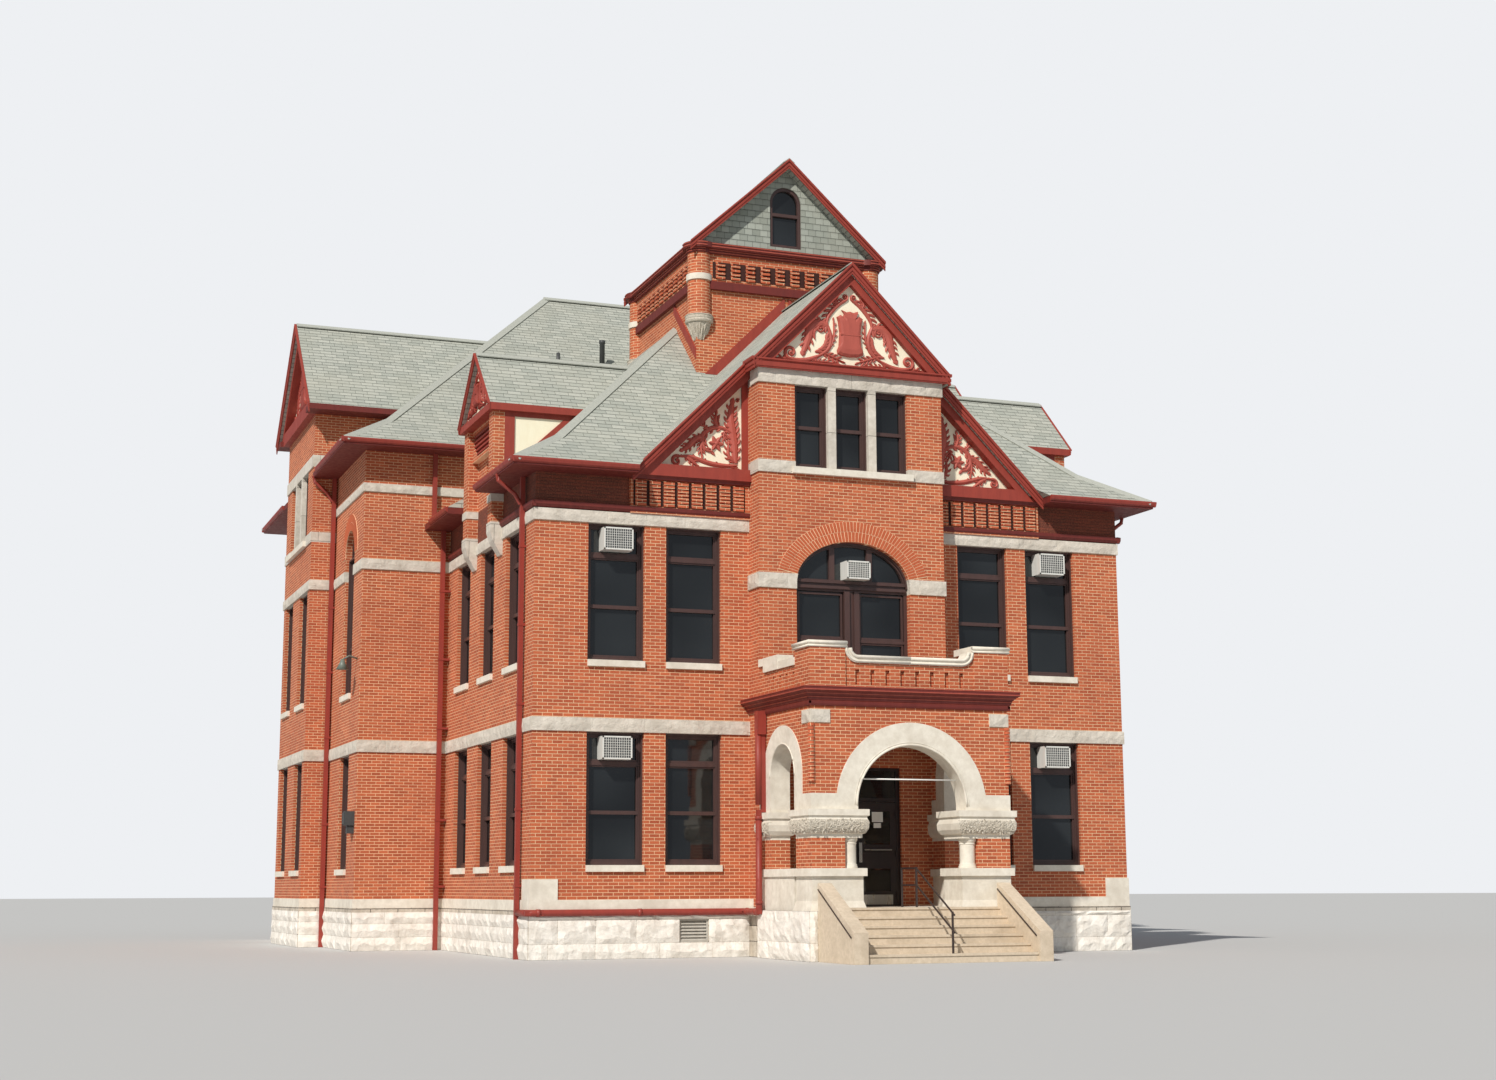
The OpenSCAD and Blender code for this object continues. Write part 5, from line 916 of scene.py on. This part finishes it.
# Downspouts: straps, and necks from the gutters
p = Piece("downspout_straps", red_metal, "red_metal", both=True)
for z in (1.4, 2.9, 5.0, 6.6, 8.2):
    p.box(6.706, 6.845, 0.64, 0.76, z, z + 0.05)
    p.box(6.706, 6.96, 7.43, 7.545, z, z + 0.05)
    p.box(8.761, 8.915, 11.175, 11.295, z, z + 0.05)
p.tube([(7.33, 0.7, 9.7), (7.3, 0.7, 9.56), (6.95, 0.7, 9.3), (6.83, 0.7, 9.1)], 0.045)
p.tube([(9.38, 11.235, 11.52), (9.34, 11.235, 11.36), (9.02, 11.235, 11.1), (8.9, 11.235, 10.9)], 0.045)
p.done()

# Downspout beside the porch, which bends and runs along the base to the corner
p = Piece("porch_downspout_parts", red_metal, "red_metal")
for z in (1.5, 2.3):
    p.box(-2.32, -2.22, -0.95, -0.84, z, z + 0.045)
for x in (-2.9, -4.2, -5.5, -6.5):
    p.box(x, x + 0.04, -0.14, -0.035, 0.85, 0.95)
p.done()
p = Piece("porch_downspout_tubes", red_metal, "red_metal", smooth=True)
PIPE_X, PIPE_Y, PIPE_Z = -2.27, -0.895, 0.9
upright = [(PIPE_X, y, z) for y, z in ((PIPE_Y, 2.74), (PIPE_Y, 1.02), (-0.89, 0.96), (-0.87, 0.92))]
level = [(x, y, PIPE_Z) for x, y in (
    (PIPE_X, -0.83), (PIPE_X, -0.78), (PIPE_X, -0.19), (-2.275, -0.13), (-2.3, -0.1), (-2.36, -0.088),
    (-2.42, -0.086), (-6.6, -0.086), (-6.68, -0.084), (-6.74, -0.07), (-6.78, -0.02), (-6.79, 0.05),
    (-6.79, 0.6))]
for pts in (upright + level, ((PIPE_X, PIPE_Y, 3.0), (PIPE_X, PIPE_Y, 4.5))):
    p.tube(pts, 0.0655, 16)
for z0, z1 in ((2.7, 2.78), (1.04, 1.11)):
    p.tube([(PIPE_X, PIPE_Y, z0), (PIPE_X, PIPE_Y, z1)], 0.074, 16)
for (x0, y0), (x1, y1) in (((PIPE_X, -0.78), (PIPE_X, -0.71)), ((PIPE_X, -0.27), (PIPE_X, -0.2)),
                           ((-4.45, -0.086), (-4.53, -0.086)), ((-6.52, -0.086), (-6.6, -0.086))):
    p.tube([(x0, y0, PIPE_Z), (x1, y1, PIPE_Z)], 0.074, 16)
p.done()

# Louvres of the basement openings
p = Piece("basement_louvres", louvre, "dark_frames", both=True)
(x0, x1), (z0, z1), rim = BASEMENT_X, BASEMENT_Z, 0.035
p.bars(-0.005, 0.06, (x0, x1, z0, z0 + rim), (x0, x1, z1 - rim, z1),
       (x0, x0 + rim, z0 + rim, z1 - rim), (x1 - rim, x1, z0 + rim, z1 - rim))
for i in range(6):
    z = 0.34 + i * 0.064
    p.beam((x0 + rim, 0, z), (x1 - rim, 0, z), (0, 1),
           [(0.005, 0.0), (0.05, 0.055), (0.054, 0.047), (0.009, -0.008)])
p.done()

# Vent pipes on the roofs
p = Piece("roof_vents", grey, "dark_metal", smooth=True)
p.lathe(-3.25, 10.76, [(0.001, 14.7), (0.05, 14.7), (0.05, 15.12), (0.001, 15.12)], 12)
p.lathe(-2.07, 10.72, [(0.001, 14.7), (0.07, 14.7), (0.07, 15.46), (0.085, 15.47), (0.085, 15.55),
                       (0.001, 15.56)], 14)
p.done()


# Porch
def carving(p, x0, x1):
    """Pitted ground and small leaves on the bulge of a capital, between the corners of its pier."""
    bulge = [(0.046, 2.388), (0.058, 2.405), (0.07, 2.426), (0.082, 2.445), (0.092, 2.466), (0.097, 2.49),
             (0.1, 2.515), (0.102, 2.54), (0.104, 2.565), (0.105, 2.59), (0.098, 2.615), (0.088, 2.645)]
    n = int((x1 - x0) / 0.018)
    loops = []
    for i in range(n + 1):
        row = []
        for o, z in bulge:
            pit = random.uniform(0.0, 0.014) if 0 < i < n else 0.002
            row.append((x0 - o + i / n * (x1 - x0 + 2 * o), -o - pit, z))
        loops.append(row + [(row[-1][0], -0.03, bulge[-1][1]), (row[0][0], -0.03, bulge[0][1])])
    p.loft(loops)
    for o, z in bulge[2:-1:2]:
        for i in range(int((x1 - x0) / 0.055)):
            x = x0 + (i + random.uniform(0.2, 0.8)) * 0.055
            leaf(p, x, z, random.uniform(0, 2 * pi), random.uniform(0.05, 0.08), 0.013, -o - 0.004,
                 0.014, random.uniform(-1.2, 1.2))


def arc(r, n, turn=pi):
    """Points (along, up) on a part of a circle about 0, with n steps."""
    return [(r * cos(t), r * sin(t)) for t in (turn * i / n for i in range(n + 1))]


p = Piece("corner_beads", arch_brick, "brick", both=True)
for i in range(16):
    z = 3.36 + i * 0.0697
    p.lathe(2.1, -3.21, [(0.001, z), (0.062, z), (0.066, z + 0.008), (0.066, z + 0.052), (0.062, z + 0.06),
                         (0.001, z + 0.06)], 16)
p.done()
p = Piece("capital_carving", carved_stone_with_painted_shade, "stone", both=True)
for w, x0, x1 in (((0, PORCH_Y, 0), 1.06, BAY_X), ((BAY_X, 0, 90), PORCH_Y, -2.44),
                  ((BAY_X, 0, 90), -1.17, BAY_Y)):
    p.at = wall_at(w)
    carving(p, x0, x1)
p.done()
p = Piece("porch_arch_rolls", smooth_stone, "stone", smooth=True)
for r, y, w, n in ((1.17, -3.238, 0.022, 10), (1.215, -3.236, 0.012, 8)):
    p.tube([(x, y, 2.92 + z) for x, z in arc(r, 40)], w, n)
for s in (1, -1):
    p.tube([(s * 2.128, -1.8 + y, 3.52 + z) for y, z in arc(0.64, 30)], 0.016, 8)
p.done()
p = Piece("balcony_coping_mouldings", smooth_stone, "stone", both=True, smooth=True)
for r, w in ((0.165, 0.034), (0.25, 0.02)):
    bend = [(1.11 + x, -3.26, 5.93 - z) for z, x in arc(r, 10, pi / 2)]
    p.tube([(0, -3.26, 5.93 - r)] + bend, w, 10)
for z, w in ((6.022, 0.034), (5.952, 0.02)):
    p.tube([(1.35, -3.27, z), (2.16, -3.27, z), (2.16, -2.46, z)], w, 10)
p.done()
p = Piece("balcony_piers", brick, "brick", both=True)
p.box(1.386, 2.13, -3.26, -3.228, 5.05, 5.93)
p.box(2.118, 2.13, -3.23, -2.5, 5.05, 5.93)
p.done()
p = Piece("porch_shafts", smooth_stone, "stone", both=True)
p.lathe(1.27, -3.02, [
    (0.001, 1.73), (0.176, 1.73), (0.176, 1.765), (0.162, 1.78), (0.166, 1.8), (0.15, 1.815), (0.148, 2.18),
    (0.158, 2.19), (0.158, 2.205), (0.15, 2.215), (0.176, 2.26), (0.176, 2.3), (0.001, 2.3)], 28)
p.done()
p = Piece("porch_arch_rod", rod_white, "white_metal", smooth=True)
p.tube([(-1.07, -3.03, 3.43), (1.07, -3.03, 3.43)], 0.014, 12)
p.done()
# String under the porch cornice, in the darker red: painted shadow of the cornice
p = Piece("porch_string", red_shadow, "red_trim", both=True)
roll = [(0, 0), (0.03, 0.005), (0.045, 0.04), (0.045, 0.09), (0, 0.095)]
p.beam((0, -3.225, 4.8), (2.17, -3.225, 4.8), (0, -1), roll)
p.beam((2.115, -3.27, 4.8), (2.115, -0.61, 4.8), (1, 0), roll)
p.done()
p = Piece("step_noses", concrete, "concrete")
for i in range(6):
    y, z = -4.9 + 0.3 * i, 0.165 * (i + 1)
    p.box(-1.748, 1.748, y - 0.02, y + 0.03, z - 0.04, z + 0.002)
p.done()

# Entrance doors
for s, tag in SIDES:
    def flip(q, s=s):
        return (s * q[0], q[1], q[2])

    p = Piece(f"{tag}_door_mouldings", shaded_door_paint, "dark_frames", at=flip)
    for z0, z1 in ((1.25, 1.78), (2.2, 2.95)):
        p.bars(-0.556, -0.539, (0.13, 0.165, z0, z1), (0.765, 0.8, z0, z1),
               (0.165, 0.765, z0, z0 + 0.035), (0.165, 0.765, z1 - 0.035, z1))
    p.done(f"{tag}_door")
    p = Piece(f"{tag}_door_glass", glass, "glass", at=flip)
    for z0, z1 in ((2.235, 2.915), (1.285, 1.745)):
        p.box(0.165, 0.765, -0.545, -0.539, z0, z1)
    p.done(f"{tag}_door")
    p = Piece(f"{tag}_door_fittings", steel, "dark_metal", at=flip)
    p.box(0.05, 0.12, -0.588, -0.5845, 1.87, 2.27)
    p.box(0.1, 0.82, -0.544, -0.539, 1.02, 1.22)
    p.tube([(0.17, -0.6, 2.126), (0.78, -0.6, 2.126)], 0.014, 10)
    for x in (0.2, 0.73):
        p.box(x, x + 0.025, -0.6, -0.5395, 2.114, 2.138)
    p.done(f"{tag}_door")
p = Piece("bare_papers", paper, "white_metal")
for x, z, w, h in ((0.364, 2.69, 0.249, 0.208), (0.401, 2.572, 0.166, 0.1)):
    p.box(x, x + w, -0.5475, -0.5455, z, z + h)
p.done("right_door")

# Floor, backdrop and light
FLOOR_R, FLOOR_Z = 300.0, -0.002
mesh = bpy.data.meshes.new("floor")
mesh.from_pydata([(FLOOR_R * cos(t), 10 + FLOOR_R * sin(t), FLOOR_Z)
                  for t in (pi * i / 32 for i in range(64))], [], [tuple(range(64))])
mesh.materials.append(Shade("pale_floor").done(lin(194, 194, 192), 0.9))
floor = placed("floor", mesh)

world = bpy.data.worlds.new("studio")
scene.world = world
world.use_nodes = True
t = world.node_tree
t.nodes.clear()
path = t.nodes.new("ShaderNodeLightPath")
seen, soft = t.nodes.new("ShaderNodeBackground"), t.nodes.new("ShaderNodeBackground")
for node, color, power in ((seen, lin(238, 240, 243), 1.0), (soft, (0.8, 0.88, 1.0, 1), 0.32)):
    node.inputs[0].default_value = color
    node.inputs[1].default_value = power
mix = t.nodes.new("ShaderNodeMixShader")
for i, socket in enumerate((path.outputs["Is Camera Ray"], soft.outputs[0], seen.outputs[0])):
    t.links.new(socket, mix.inputs[i])
t.links.new(mix.outputs[0], t.nodes.new("ShaderNodeOutputWorld").inputs[0])


def sun(name, towards, power, angle, color):
    light = bpy.data.lights.new(name, "SUN")
    light.energy, light.angle, light.color = power, radians(angle), color
    o = placed(name, light)
    o.rotation_euler = Vector(towards).to_track_quat("-Z", "Y").to_euler()


sun("key", (0.62, 0.62, -0.72), 3.85, 1.5, (1.0, 0.955, 0.9))
sun("fill", (-0.7, 0.6, -0.4), 0.16, 40.0, (0.9, 0.95, 1.0))

# Camera where the photo was taken from, solved from the corners, window rows and eaves
CAMERA_AT = (-17.216, -39.039, 1.384)
yaw, pitch, roll = radians(21.129), radians(9.67), -0.0041
look = Vector((sin(yaw) * cos(pitch), cos(yaw) * cos(pitch), sin(pitch)))
side = Vector((cos(yaw), -sin(yaw), 0))
up = side.cross(look)
side, up = (side * cos(roll) + up * sin(roll), up * cos(roll) - side * sin(roll))
camera = placed("camera", bpy.data.cameras.new("camera"))
camera.data.lens, camera.data.sensor_width = 49.01, 36.0
camera.data.clip_end = 1000.0
camera.matrix_world = Matrix([(side[k], up[k], -look[k], CAMERA_AT[k]) for k in range(3)] + [(0, 0, 0, 1)])
scene.camera = camera
scene.view_settings.view_transform = "Standard"
